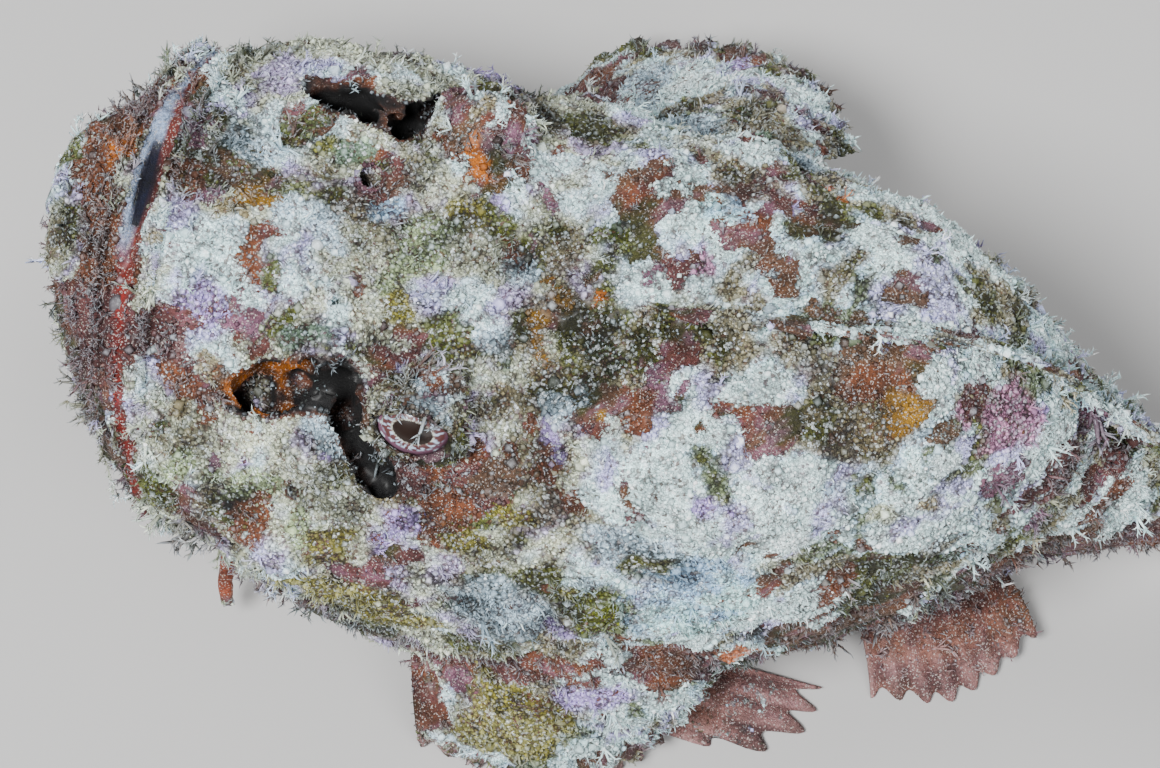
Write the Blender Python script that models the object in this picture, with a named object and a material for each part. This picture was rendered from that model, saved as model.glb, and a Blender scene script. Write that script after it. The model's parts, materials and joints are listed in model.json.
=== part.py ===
"""Scorpionfish lying on the bottom, a still, life-size model.

The fish is modelled straight, in the frame (x from the chin to the tail, y to its
right, z up), and every piece is bent and moved to its place by one function at the
end. The body is one loft, carved and then parted into head, jaw, gill covers, torso
and tail. The fins are sheets with raised rays, cut along the body's own surface.
"""

import math

import bmesh
import bpy
import numpy as np
from mathutils import Matrix, Vector

MM = 0.001
GAP = 0.3 * MM  # between pieces that touch

# Body sections in mm: distance from the chin, half width, top, bottom, widest height
STATIONS = (
    (0.0, 0.0, 50.0, 50.0, 50.0),
    (2.0, 9.0, 56.0, 46.0, 51.0),
    (5.0, 14.5, 61.5, 40.0, 50.0),
    (12.0, 26.0, 67.0, 31.0, 47.0),
    (20.0, 33.5, 66.5, 22.0, 44.0),
    (34.0, 40.5, 68.5, 11.0, 38.0),
    (50.0, 44.5, 72.0, 4.0, 33.0),
    (70.0, 46.5, 76.0, 0.5, 31.0),
    (90.0, 47.0, 82.0, -1.0, 31.0),
    (110.0, 44.5, 91.0, -1.5, 33.0),
    (133.0, 36.5, 97.0, -1.5, 34.0),
    (150.0, 30.0, 90.0, -1.0, 34.0),
    (165.0, 22.5, 77.0, 1.5, 33.0),
    (180.0, 14.0, 62.0, 6.0, 33.0),
    (195.0, 9.5, 50.0, 9.5, 29.0),
    (207.0, 7.5, 43.0, 11.5, 27.0),
    (218.0, 6.0, 40.0, 13.0, 26.5),
)
UPPER_SQUARENESS = 2.2
LOWER_SQUARENESS = 2.6
RING_POINTS = 36

# The pose: the tail swings to the fish's right
BEND_ANGLE = math.radians(12.0)
BEND_START = 40.0 * MM
BEND_END = 170.0 * MM
CENTRE_SHIFT = Vector((-0.1290, -0.0131, 0.0))

# Mouth: the slit lies in a plane across the head, from the tip of the snout down
LIP_TIP = Vector((12.5, 0.0, 67.0)) * MM
LIP_CORNER = Vector((29.0, 38.0, 33.0)) * MM
MOUTH_WIDTH = 40.0 * MM
MOUTH_DEPTH = 22.0 * MM
MOUTH_GAPE = 1.6 * MM
LIP_RADIUS = 1.5 * MM

# Eyes
EYE_CENTRE = Vector((61.35, 24.25, 70.5)) * MM
EYE_RADIUS = 6.8 * MM
LID_AXIS = Vector((-0.10, 0.72, 0.69)).normalized()
LID_RADIUS = 9.3 * MM
LID_OPENING = (6.5 * MM, 3.9 * MM)  # along the head and across it


# Hollows of the head in mm: centre of the right one, half sizes
EYE_PIT = ((42.5, 23.5, 62.5), (7.6, 4.6, 7.5))
EYE_PIT_BEND = ((50.6, 22.4, 64.5), (3.6, 3.6, 5.0))
UNDER_EYE_GROOVE = ((55.0, 29.2, 62.5), (3.2, 3.0, 4.4))
NOSTRIL_X = 45.5
NOSTRIL_Y = 11.0

# Ovals on the side of the head in mm: centre (x, z), half sizes, tilt; then the depth
GILL_COVER = ((82.0, 34.0), (10.5, 22.0), math.radians(-8.0))
GILL_DEPTH = 4.5 * MM
GILL_SLIT = 0.9 * MM  # wider along the rear edge
UPPER_JAW = ((30.2, 36.6), (4.9, 12.5), math.radians(26.0))
UPPER_JAW_DEPTH = 3.0 * MM

# The pectoral fins lie close to the flank up to here, so no flap grows under them
FIN_SHADOW_END = 122.0

# Where the body is parted
HEAD_END = 95.0 * MM
TORSO_END = 158.0 * MM
TAIL_END = 196.0 * MM
BEYOND_TAIL = 300.0 * MM

# Fins in mm on the fish's right side: points along the root, pull and edge of each fan
PECTORAL_RAYS = 16
LEFT_PECTORAL_BASE = ((92, 38, 52), (88, 41, 34), (84, 40, 20), (79, 34, 9))
RIGHT_PECTORAL_BASE = ((98, 36, 60), (92, 40, 46), (86, 41, 28), (79, 34, 9))
LEFT_PECTORAL_PULL = ((104, 47, 58), (106, 56, 34), (98, 59, 20), (82, 54, 10))
LEFT_PECTORAL_EDGE = (
    (123, 33, 40), (126, 42, 18), (119, 51, 0.6), (103, 57, 0.5), (86, 55, 0.5)
)
RIGHT_PECTORAL_PULL = ((114, 40, 66), (118, 53, 61), (112, 64, 48), (98, 67, 28), (82, 55, 9))
RIGHT_PECTORAL_EDGE = (
    (126, 39, 61), (138, 50, 48), (137, 63, 39), (124, 75, 25), (104, 79, 11), (84, 62, 0.4)
)
PELVIC_RAYS = 6
PELVIC_BASE = ((84, 26, 4.5), (90, 24, 4.5), (97, 22, 4.5))
PELVIC_PULL = ((98, 40, 3.4), (112, 38, 2.8), (124, 30, 2.0))
PELVIC_EDGE = ((118, 46, 0.6), (138, 46, 0.5), (149, 40, 0.5), (151, 33, 0.6))
ANAL_RAYS = 8
ANAL_BASE = ((150, -4, 3.5), (162, -4, 5), (176, -3, 8))
ANAL_PULL = ((157, -20, 5.5), (170, -18, 6.5), (185, -12, 9))
ANAL_EDGE = ((160, -34, 0.5), (172, -34, 0.5), (182, -29, 1), (190, -21, 5))
CAUDAL_RAYS = 12
CAUDAL_BASE = ((214, 0, 38), (214, 0, 27), (214, 0, 15))
CAUDAL_PULL = ((232, 0, 47), (236, -0.5, 27), (232, 0, 9))
CAUDAL_EDGE = ((250, 0.5, 55), (258, 0, 44), (261, 0, 28), (258, 0, 13), (250, 0.5, 2.5))

# Fins along the back: first and last ray (mm), ray count, ray lengths (mm), rise, lean aside
SPINY_DORSAL = (88.0, 158.0, 12, (13, 18, 20, 20, 18, 15, 12), math.radians(34.0), math.radians(40.0))
SPINY_NOTCH = 0.45
SOFT_DORSAL = (162.0, 192.0, 9, (14, 19, 20, 17, 12), math.radians(46.0), math.radians(30.0))
SOFT_NOTCH = 0.12
DORSAL_ROOT_DEPTH = 1.5 * MM
BACK_SPAN = 8.0 * MM  # half the length over which the slope of the back is taken
THINNEST_FIN = 0.6 * MM

SKIN = (0.62, 0.57, 0.52, 1.0)
LILAC = (0.60, 0.50, 0.60, 1.0)
RUST = (0.33, 0.11, 0.05, 1.0)
EYE_BROWN = (0.05, 0.02, 0.015, 1.0)


def monotone_curve(x, y, query):
    """Smooth curve through the points that never overshoots them."""
    query = np.clip(query, x[0], x[-1])
    step = np.diff(x)
    slope = np.diff(y) / step
    before, after = slope[:-1], slope[1:]
    heavy, light = 2.0 * step[1:] + step[:-1], step[1:] + 2.0 * step[:-1]
    same_way = before * after > 0.0
    safe_before = np.where(same_way, before, 1.0)
    safe_after = np.where(same_way, after, 1.0)
    inner = np.where(same_way, (heavy + light) / (heavy / safe_before + light / safe_after), 0.0)
    tangent = np.concatenate([slope[:1], inner, slope[-1:]])
    i = np.clip(np.searchsorted(x, query, side="right") - 1, 0, len(step) - 1)
    t = (query - x[i]) / step[i]
    rise = t * t * (3.0 - 2.0 * t)
    pull_out = t * (1.0 - t) ** 2 * step[i] * tangent[i]
    pull_in = t * t * (t - 1.0) * step[i] * tangent[i + 1]
    return (1.0 - rise) * y[i] + pull_out + rise * y[i + 1] + pull_in


TABLE = np.array(STATIONS) * MM


def section(x):
    """Half width, top, bottom and widest height of the body at x."""
    x = np.asarray(x, float)
    return [monotone_curve(TABLE[:, 0], TABLE[:, k], x) for k in (1, 2, 3, 4)]


def body_point(x, turn):
    """Point on the bare body: superellipse section at x, turn 0 at the top, + to the right."""
    width, top, bottom, middle = section(x)
    up, across = np.cos(turn), np.sin(turn)
    power = np.where(up > 0.0, 2.0 / UPPER_SQUARENESS, 2.0 / LOWER_SQUARENESS)
    y = width * np.sign(across) * np.abs(across) ** power
    reach = np.where(up > 0.0, top - middle, middle - bottom)
    z = middle + reach * np.sign(up) * np.abs(up) ** power
    return np.stack([np.broadcast_to(x, y.shape), y, z], axis=-1)


def side_y(x, z):
    """How far the bare body's side stands out at x and height z."""
    width, top, bottom, middle = section(x)
    above = z > middle
    power = np.where(above, UPPER_SQUARENESS, LOWER_SQUARENESS)
    reach = np.where(above, top - middle, middle - bottom)
    share = np.clip(np.abs(z - middle) / np.maximum(reach, 1e-6), 0.0, 1.0)
    return width * (1.0 - share**power) ** (1.0 / power)


def top_z(x, y):
    """Height of the bare body's upper surface at x and y."""
    width, top, bottom, middle = section(x)
    share = np.clip(np.abs(y) / np.maximum(width, 1e-6), 0.0, 1.0)
    return middle + (top - middle) * (1.0 - share**UPPER_SQUARENESS) ** (1.0 / UPPER_SQUARENESS)


# Swellings and hollows of the body in mm: x, y, z, radius, height; each is made on both sides
RELIEF = (
    (61.0, 17.0, 72.0, 13.0, 3.0),
    (44.0, 17.0, 65.0, 7.0, 3.2),
    (60.0, 0.0, 75.0, 12.0, -5.5),
    (47.0, 31.0, 61.0, 7.0, 2.4),
    (74.0, 25.0, 75.0, 6.0, -2.2),
    (78.0, 12.0, 78.0, 9.0, -2.5),
    (90.0, 20.0, 78.0, 9.0, 3.5),
    (30.0, 0.0, 68.0, 8.0, 2.2),
    (36.0, 37.0, 46.0, 8.0, 3.0),
    (50.0, 42.0, 46.0, 8.0, 3.4),
    (66.0, 45.0, 44.0, 8.0, 3.0),
    (44.0, 36.0, 22.0, 9.0, -4.5),
    (22.0, 14.0, 66.0, 6.0, 1.8),
    (4.0, 10.0, 56.0, 6.0, 1.6),
    (84.0, 45.0, 56.0, 8.0, 2.6),
    (104.0, 30.0, 82.0, 12.0, 3.5),
    (120.0, 10.0, 97.0, 10.0, 1.5),
    (140.0, 24.0, 66.0, 9.0, 1.8),
    (128.0, 34.0, 40.0, 9.0, 1.8),
)


def relief(points, normals):
    """Moves points along their normals by the sum of rounded bumps."""
    lift = np.zeros(points.shape[:-1])
    for x, y, z, radius, height in RELIEF:
        sides = (1.0, -1.0) if y else (1.0,)
        for side in sides:
            centre = np.array((x, side * y, z)) * MM
            away = np.linalg.norm(points - centre, axis=-1) / (radius * MM)
            lift += height * MM * np.exp(-away * away)
    return points + normals * lift[..., None]


def station_places():
    """Ring places along the body, close together at the head."""
    head = np.array((2.0, 5.0, 8.5, 12.0)) * MM
    face = np.arange(16.0, 94.0, 4.6) * MM
    rear = np.linspace(98.5, 218.0, 14) * MM
    return np.concatenate([head, face, rear])


def body_rings():
    """Grid of points round the body, with the relief on it."""
    turn = np.linspace(0.0, 2.0 * math.pi, RING_POINTS, endpoint=False)
    x, angle = np.meshgrid(station_places(), turn, indexing="ij")
    small = 1e-4
    points = body_point(x, angle)
    along = body_point(x + small * MM, angle) - body_point(x - small * MM, angle)
    around = body_point(x, angle + small) - body_point(x, angle - small)
    normals = np.cross(around, along)
    normals /= np.maximum(np.linalg.norm(normals, axis=-1, keepdims=True), 1e-12)
    outward = np.sum(normals * (points - [0, 0, 0.04]) * [0, 1, 1], axis=-1, keepdims=True)
    return relief(points, normals * np.sign(outward + 1e-12))


def new_object(name, vertices, faces):
    mesh = bpy.data.meshes.new(name)
    mesh.from_pydata([tuple(v) for v in vertices], [], faces)
    made = bpy.data.objects.new(name, mesh)
    bpy.context.scene.collection.objects.link(made)
    work = bmesh.new()
    work.from_mesh(mesh)
    bmesh.ops.triangulate(work, faces=[f for f in work.faces if len(f.verts) > 4])
    bmesh.ops.recalc_face_normals(work, faces=work.faces)
    if work.calc_volume(signed=True) < 0.0:
        bmesh.ops.reverse_faces(work, faces=work.faces)
    work.to_mesh(mesh)
    work.free()
    return made


def loft(name, rings, first_tip, last_tip):
    """Closed skin over rings of points, ending in a point at each end."""
    count, around = rings.shape[:2]
    vertices = [*rings.reshape(-1, 3), first_tip, last_tip]
    faces = []
    for i in range(count - 1):
        for j in range(around):
            k = (j + 1) % around
            faces.append((i * around + j, i * around + k, (i + 1) * around + k, (i + 1) * around + j))
    nose, end = count * around, count * around + 1
    last = (count - 1) * around
    for j in range(around):
        k = (j + 1) % around
        faces.append((nose, k, j))
        faces.append((end, last + j, last + k))
    return new_object(name, vertices, faces)


def whole_body(name, grow=0.0):
    rings = body_rings()
    nose = np.array((0.0, 0.0, 50.0)) * MM
    end = rings[-1].mean(axis=0) + np.array((1.0, 0.0, 0.0)) * MM
    made = loft(name, rings, nose, end)
    if grow:
        normals = [v.normal.copy() for v in made.data.vertices]
        for vertex, normal in zip(made.data.vertices, normals):
            vertex.co += normal * grow
    return made


def ball(name, centre, radii, segments=18, rings=10, turn=None):
    """Closed ellipsoid."""
    work = bmesh.new()
    bmesh.ops.create_uvsphere(work, u_segments=segments, v_segments=rings, radius=1.0)
    size = Matrix.Diagonal((*radii, 1.0))
    place = Matrix.Translation(centre) @ (turn.to_4x4() if turn else Matrix.Identity(4)) @ size
    bmesh.ops.transform(work, matrix=place, verts=work.verts)
    mesh = bpy.data.meshes.new(name)
    work.to_mesh(mesh)
    work.free()
    made = bpy.data.objects.new(name, mesh)
    bpy.context.scene.collection.objects.link(made)
    return made


def rod(name, start, end, radius, end_radius, sides=12):
    """Straight round bar or cone between two points."""
    along = Vector(end) - Vector(start)
    work = bmesh.new()
    bmesh.ops.create_cone(
        work, cap_ends=True, segments=sides, radius1=radius, radius2=end_radius, depth=along.length
    )
    turn = along.to_track_quat("Z", "Y").to_matrix().to_4x4()
    place = Matrix.Translation((Vector(start) + Vector(end)) / 2.0) @ turn
    bmesh.ops.transform(work, matrix=place, verts=work.verts)
    mesh = bpy.data.meshes.new(name)
    work.to_mesh(mesh)
    work.free()
    made = bpy.data.objects.new(name, mesh)
    bpy.context.scene.collection.objects.link(made)
    return made


def half_space(name, point, outward):
    """Large block whose one face passes through the point, with the rest behind it."""
    size = 0.6
    work = bmesh.new()
    bmesh.ops.create_cube(work, size=size)
    turn = Vector(outward).to_track_quat("Z", "Y").to_matrix().to_4x4()
    centre = Vector(point) - Vector(outward).normalized() * size / 2.0
    bmesh.ops.transform(work, matrix=Matrix.Translation(centre) @ turn, verts=work.verts)
    mesh = bpy.data.meshes.new(name)
    work.to_mesh(mesh)
    work.free()
    made = bpy.data.objects.new(name, mesh)
    bpy.context.scene.collection.objects.link(made)
    return made


def remove(made):
    mesh = made.data
    bpy.data.objects.remove(made, do_unlink=True)
    bpy.data.meshes.remove(mesh)


def bake(made):
    """Applies the object's modifiers."""
    graph = bpy.context.evaluated_depsgraph_get()
    graph.update()
    fresh = bpy.data.meshes.new_from_object(made.evaluated_get(graph))
    old = made.data
    made.modifiers.clear()
    made.data = fresh
    fresh.name = made.name
    bpy.data.meshes.remove(old)


def combine(target, others, operation):
    """One Boolean on a collection of closed meshes, applied; the others are removed."""
    if not others:
        return target
    group = bpy.data.collections.new("cutters")
    bpy.context.scene.collection.children.link(group)
    for other in others:
        bpy.context.scene.collection.objects.unlink(other)
        group.objects.link(other)
    step = target.modifiers.new("join", "BOOLEAN")
    step.operation = operation
    step.operand_type = "COLLECTION"
    step.collection = group
    step.solver = "MANIFOLD"
    bake(target)
    for other in others:
        remove(other)
    bpy.data.collections.remove(group)
    return target


def clip(target, *blocks):
    """Keeps what lies inside every block."""
    for block in blocks:
        step = target.modifiers.new("clip", "BOOLEAN")
        step.operation = "INTERSECT"
        step.object = block
        step.solver = "MANIFOLD"
        bake(target)
        remove(block)
    return target


def copy_of(made, name):
    twin = made.copy()
    twin.data = made.data.copy()
    twin.name = name
    bpy.context.scene.collection.objects.link(twin)
    return twin


def keep_largest(made):
    """Leaves only the closed surface that holds the most."""
    work = bmesh.new()
    work.from_mesh(made.data)
    left, islands = set(work.faces), []
    while left:
        seed = left.pop()
        island, front = {seed}, [seed]
        while front:
            for edge in front.pop().edges:
                for face in edge.link_faces:
                    if face in left:
                        left.discard(face)
                        island.add(face)
                        front.append(face)
        islands.append(island)

    def holds(island):
        total = 0.0
        for face in island:
            corners = [v.co for v in face.verts]
            for a, b in zip(corners[1:-1], corners[2:]):
                total += corners[0].dot(a.cross(b))
        return total

    best = max(islands, key=holds)
    bmesh.ops.delete(work, geom=[f for f in work.faces if f not in best], context="FACES")
    loose = [v for v in work.verts if not v.link_faces]
    bmesh.ops.delete(work, geom=loose, context="VERTS")
    work.to_mesh(made.data)
    work.free()


def sheet(name, middle, thickness):
    """Closed sheet over a grid of points, both faces split into triangles alike."""
    rows, columns = middle.shape[:2]
    down = np.gradient(middle, axis=0)
    across = np.gradient(middle, axis=1)
    normal = np.cross(down, across)
    normal /= np.maximum(np.linalg.norm(normal, axis=-1, keepdims=True), 1e-12)
    half = normal * (thickness / 2.0)[..., None]
    vertices = np.concatenate([(middle + half).reshape(-1, 3), (middle - half).reshape(-1, 3)])
    under = rows * columns
    faces = []
    for i in range(rows - 1):
        for j in range(columns - 1):
            a, b = i * columns + j, i * columns + j + 1
            c, d = a + columns, b + columns
            faces += [(a, c, d), (a, d, b)]
            faces += [(under + a, under + d, under + c), (under + a, under + b, under + d)]
    rim = [j for j in range(columns)]
    rim += [i * columns + columns - 1 for i in range(1, rows)]
    rim += [(rows - 1) * columns + j for j in range(columns - 2, -1, -1)]
    rim += [i * columns for i in range(rows - 2, 0, -1)]
    for a, b in zip(rim, rim[1:] + rim[:1]):
        faces += [(a, b, under + b), (a, under + b, under + a)]
    return new_object(name, vertices, faces)


def ray_ridge(position):
    """1 on a ray, 0 half way between rays, for a position counted in rays."""
    return 0.5 + 0.5 * np.cos(2.0 * math.pi * position)


def arc_between(start, middle, end, v):
    """Quadratic curve from start to end, pulled towards the middle point."""
    v = v[None, :, None]
    return (1 - v) ** 2 * start[:, None] + 2 * v * (1 - v) * middle[:, None] + v * v * end[:, None]


def fan_fin(name, base, pull, tips, rays, thick_root, thick_tip, notch, steps=6):
    """Fin of bent rays: each of base, pull and tips is a short list of points across the fan."""
    across = np.linspace(0.0, 1.0, 2 * (rays - 1) + 1)
    ridge = ray_ridge(across * (rays - 1))

    def spread(points):
        points = np.array(points) * MM
        at = np.linspace(0.0, 1.0, len(points))
        return np.stack([monotone_curve(at, points[:, k], across) for k in range(3)], axis=-1)

    start, bow, end = spread(base), spread(pull), spread(tips)
    end = start + (end - start) * (1.0 - notch * (1.0 - ridge))[:, None]
    v = np.linspace(0.0, 1.0, steps)
    middle = arc_between(start, bow, end, v)
    thickness = thick_root + (thick_tip - thick_root) * v[None, :] ** 0.6
    thickness = thickness * (0.62 + 0.38 * ridge[:, None])
    return sheet(name, middle, np.maximum(thickness, THINNEST_FIN))


def cut_from_body(fin, grown):
    """Cuts the fin along the body's surface, a gap clear of it, and level with the floor."""
    combine(fin, [copy_of(grown, "grown_copy")], "DIFFERENCE")
    clip(fin, half_space("above", (0, 0, 0), (0, 0, -1)))
    keep_largest(fin)
    return fin


def mouth_frame():
    """Down the slit, and the way into the head square to it."""
    down = Vector((LIP_CORNER.x - LIP_TIP.x, 0.0, LIP_CORNER.z - LIP_TIP.z)).normalized()
    inward = Vector((-down.z, 0.0, down.x))
    return down, inward


def lip_curve(count):
    """Where the mouth's plane meets the bare body, from corner to corner over the top."""
    down, inward = mouth_frame()
    turn = np.linspace(-1.0, 1.0, count)
    low, high = np.full(count, 0.5 * MM), np.full(count, 60.0 * MM)
    angle = turn * 1.72
    for _ in range(40):
        x = (low + high) / 2.0
        point = body_point(x, angle)
        depth = (point - np.array(LIP_TIP)) @ np.array(inward)
        low, high = np.where(depth < 0.0, x, low), np.where(depth < 0.0, high, x)
    return body_point((low + high) / 2.0, angle)


def tube(name, path, radius, sides=6):
    """Closed tube along a path, with its ends tapered."""
    along = np.gradient(path, axis=0)
    along /= np.linalg.norm(along, axis=-1, keepdims=True)
    side = np.cross(along, [1.0, 0.0, 0.3])
    side /= np.linalg.norm(side, axis=-1, keepdims=True)
    up = np.cross(side, along)
    turn = np.linspace(0.0, 2.0 * math.pi, sides, endpoint=False)
    ends = np.minimum(np.arange(len(path)), np.arange(len(path))[::-1]) / 3.0
    size = radius * np.clip(0.35 + 0.65 * ends, 0.0, 1.0)
    circle = side[:, None] * np.cos(turn)[None, :, None] + up[:, None] * np.sin(turn)[None, :, None]
    rings = path[:, None] + circle * size[:, None, None]
    return loft(name, rings, path[0] - along[0] * 0.5 * MM, path[-1] + along[-1] * 0.5 * MM)


def lip(name, side):
    """Rounded rim along the slit, on the jaw (side -1) or on the head (side 1)."""
    path = lip_curve(19)
    _, inward = mouth_frame()
    open_share = np.sin(np.linspace(0.0, math.pi, 19))
    shift = side * (LIP_RADIUS + GAP + MOUTH_GAPE * 0.85 * open_share)
    return tube(name, path + np.array(inward) * shift[:, None], LIP_RADIUS, 5)


def side_patch(name, centre, half_size, tilt, side, depth, grow=0.0, rear_grow=0.0):
    """Block that follows the flank: an oval outline in side view, from depth inside to well outside."""
    rings, around = 4, 20
    rim = np.linspace(0.0, 2.0 * math.pi, around, endpoint=False)
    share = np.linspace(0.0, 1.0, rings + 1)[1:]
    a = (half_size[0] * MM + grow) * np.cos(rim) + rear_grow * np.clip(np.cos(rim), 0.0, 1.0)
    b = (half_size[1] * MM + grow) * np.sin(rim)
    along = a * math.cos(tilt) - b * math.sin(tilt)
    rise = a * math.sin(tilt) + b * math.cos(tilt)
    x = centre[0] * MM + share[:, None] * along[None]
    z = centre[1] * MM + share[:, None] * rise[None]
    inner_y = side_y(x, z) - depth - grow
    layers = [np.stack([x, side * inner_y, z], axis=-1)]
    layers += [np.stack([x[-1:], side * (side_y(x, z)[-1:] + 9.0 * MM), z[-1:]], axis=-1)]
    rings_all = np.concatenate(layers)
    x0, z0 = centre[0] * MM, centre[1] * MM
    inner_tip = np.array((x0, side * (side_y(x0, z0) - depth - grow), z0))
    outer_tip = np.array((x0, side * (side_y(x0, z0) + 9.0 * MM), z0))
    return loft(name, rings_all, inner_tip, outer_tip)


def surface_normal(point):
    """Outward direction of the bare body at a point on it."""

    def height(p):
        width, top, bottom, middle = [float(v) for v in section(p[0])]
        above = p[2] > middle
        power = UPPER_SQUARENESS if above else LOWER_SQUARENESS
        reach = top - middle if above else middle - bottom
        return (abs(p[1]) / width) ** power + (abs(p[2] - middle) / reach) ** power

    step = 0.05 * MM
    slope = []
    for k in range(3):
        ahead, behind = list(point), list(point)
        ahead[k] += step
        behind[k] -= step
        slope.append(height(ahead) - height(behind))
    return Vector(slope).normalized()


def on_flank(x, z, side):
    """Point on the bare body's flank."""
    return Vector((x * MM, side * float(side_y(x * MM, z * MM)), z * MM))


def on_top(x, y):
    """Point on the bare body's upper surface."""
    return Vector((x * MM, y * MM, float(top_z(x * MM, y * MM))))


def spike(name, root, lean, length, radius, sides=4):
    """Tapered spine with its root sunk in."""
    direction = (surface_normal(root) + Vector(lean)).normalized()
    start = root - direction * 2.2 * MM
    return rod(name, start, root + direction * length, radius, radius * 0.12, sides)


def tuft(name, root, lean, length, rng, branches=3):
    """Skin flap: a few tapering lobes that part from one root."""
    made = []
    for k in range(branches):
        away = Vector(rng.uniform(-0.55, 0.55, 3))
        size = length * rng.uniform(0.75, 1.1)
        made.append(spike(f"{name}_{k}", root, Vector(lean) + away, size, 1.0 * MM, 3))
    return made


HEAD_SPIKES = (
    # x, y or z, on top (T) or flank (F), length, radius
    (40.0, 14.0, "T", 3.2, 1.3),
    (50.0, 20.0, "T", 3.6, 1.5),
    (72.0, 19.0, "T", 4.6, 1.7),
    (76.0, 27.0, "T", 4.0, 1.6),
    (83.0, 16.0, "T", 4.6, 1.8),
    (89.0, 14.0, "T", 4.0, 1.6),
    (86.0, 32.0, "T", 4.0, 1.6),
    (40.0, 48.0, "F", 3.0, 1.4),
    (52.0, 48.0, "F", 3.4, 1.5),
    (64.0, 46.0, "F", 4.2, 1.7),
    (69.0, 38.0, "F", 5.6, 1.9),
    (67.0, 29.0, "F", 4.6, 1.7),
    (63.0, 21.0, "F", 3.8, 1.5),
    (57.0, 14.0, "F", 3.2, 1.4),
)


def head_spikes():
    """Bony spines in rows over the eyes, along the cheek and on its rear edge."""
    made = []
    for number, (x, place, where, length, radius) in enumerate(HEAD_SPIKES):
        for side in (1.0, -1.0):
            root = on_top(x, side * place) if where == "T" else on_flank(x, place, side)
            name = f"head_spike_{number}_{int(side)}"
            made.append(spike(name, root, (0.8, 0.0, 0.1), length * MM, radius * MM))
    return made


def head_flaps(rng):
    """Branched skin flaps at the mouth's corner, along the cheek and over the eyes."""
    made = []
    for side in (1.0, -1.0):
        for number, x in enumerate(np.arange(33.0, 62.0, 6.8)):
            root = on_flank(x, 33.0 - 0.25 * (x - 33.0) + rng.uniform(-2.0, 2.0), side)
            made += tuft(f"cheek_{number}_{int(side)}", root, (-0.1, 0.0, -0.7), 6.0 * MM, rng)
        for number, (x, y) in enumerate(((54.0, 24.0), (66.0, 15.0))):
            root = on_top(x, side * y)
            made += tuft(f"brow_{number}_{int(side)}", root, (0.0, 0.0, 0.0), 6.5 * MM, rng)
        for number in range(4):
            root = on_top(20.0 + 5.0 * number, side * (8.0 + 6.5 * number))
            made += tuft(f"snout_{number}_{int(side)}", root, (-0.3, 0.0, 0.0), 3.8 * MM, rng, 2)
    return made


def cheek_finger(side):
    """Smooth fleshy finger that hangs out from under the cheek."""
    path = np.array((
        (46.0, 30.0, 24.0),
        (45.5, 34.5, 22.5),
        (46.5, 38.0, 19.0),
        (48.0, 40.6, 14.0),
        (50.0, 42.4, 8.5),
    )) * MM
    path[:, 1] *= side
    return tube(f"finger_{int(side)}", path, 2.2 * MM, 7)


def jaw_flaps(rng):
    """Tufts over the chin and along the edge of the lower jaw."""
    made = []
    for row, x in enumerate((5.0, 11.0)):
        for number, turn in enumerate(np.linspace(-1.45, 1.45, 7 + row)):
            angle = turn + rng.uniform(-0.08, 0.08)
            root = Vector(body_point(np.array(x * MM), np.array(angle)).tolist())
            length = rng.uniform(3.2, 5.0) * MM
            down, inward = mouth_frame()
            if (root - LIP_TIP).dot(inward) > -2.5 * MM:
                continue
            made += tuft(f"chin_{row}_{number}", root, (-0.4, 0.0, 0.0), length, rng, 2)
    return made


def back_flaps(name, first, last, rng):
    """Skin flaps along the lateral line and over the back."""
    made = []
    for side in (1.0, -1.0):
        for number, x in enumerate(np.arange(first, last, 11.0)):
            width, top, bottom, middle = [float(v) / MM for v in section(x * MM)]
            line = middle + 0.24 * (top - middle)
            if x > FIN_SHADOW_END:
                root = on_flank(x, line, side)
                made += tuft(f"{name}_line_{number}_{int(side)}", root, (0.4, 0, 0), 4.2 * MM, rng, 2)
            high = on_top(x + 3.0, side * width * rng.uniform(0.42, 0.62))
            made += tuft(f"{name}_back_{number}_{int(side)}", high, (0.5, 0, 0), 4.2 * MM, rng, 2)
    return made


def carve_head(body):
    """Mouth, eye openings, pits before and under the eyes, nostrils."""
    down, inward = mouth_frame()
    across = Vector((0.0, -1.0, 0.0))
    turn = Matrix((inward, across, down)).transposed()
    cutters = [
        ball("gape", LIP_TIP + down * 6.0 * MM, (MOUTH_GAPE, MOUTH_WIDTH, MOUTH_DEPTH), 28, 14, turn)
    ]
    for side in (1.0, -1.0):
        mirror = Vector((1.0, side, 1.0))
        centre, axis = EYE_CENTRE * mirror, LID_AXIS * mirror
        name = "right" if side > 0 else "left"
        reach = EYE_RADIUS + GAP
        cutters.append(ball(f"socket_{name}", centre, (reach, reach, reach), 14, 9))
        upward = axis.cross(Vector((1.0, 0.0, 0.0))).normalized()
        lie = Matrix((upward.cross(axis), upward, axis)).transposed()
        window = (*LID_OPENING, 9.0 * MM)
        cutters.append(ball(f"opening_{name}", centre + axis * 9.0 * MM, window, 16, 8, lie))
        for label, (place, half_size) in (("pit", EYE_PIT), ("pit_bend", EYE_PIT_BEND), ("groove", UNDER_EYE_GROOVE)):
            hollow = Vector(place) * mirror * MM
            cutters.append(ball(f"{label}_{name}", hollow, Vector(half_size) * MM, 12, 8))
        nostril = on_top(NOSTRIL_X, side * NOSTRIL_Y)
        low, high = nostril - Vector((0, 0, 4 * MM)), nostril + Vector((0, 0, 6 * MM))
        cutters.append(rod(f"nostril_{name}", low, high, 1.2 * MM, 1.7 * MM, 10))
    return combine(body, cutters, "DIFFERENCE")


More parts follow.
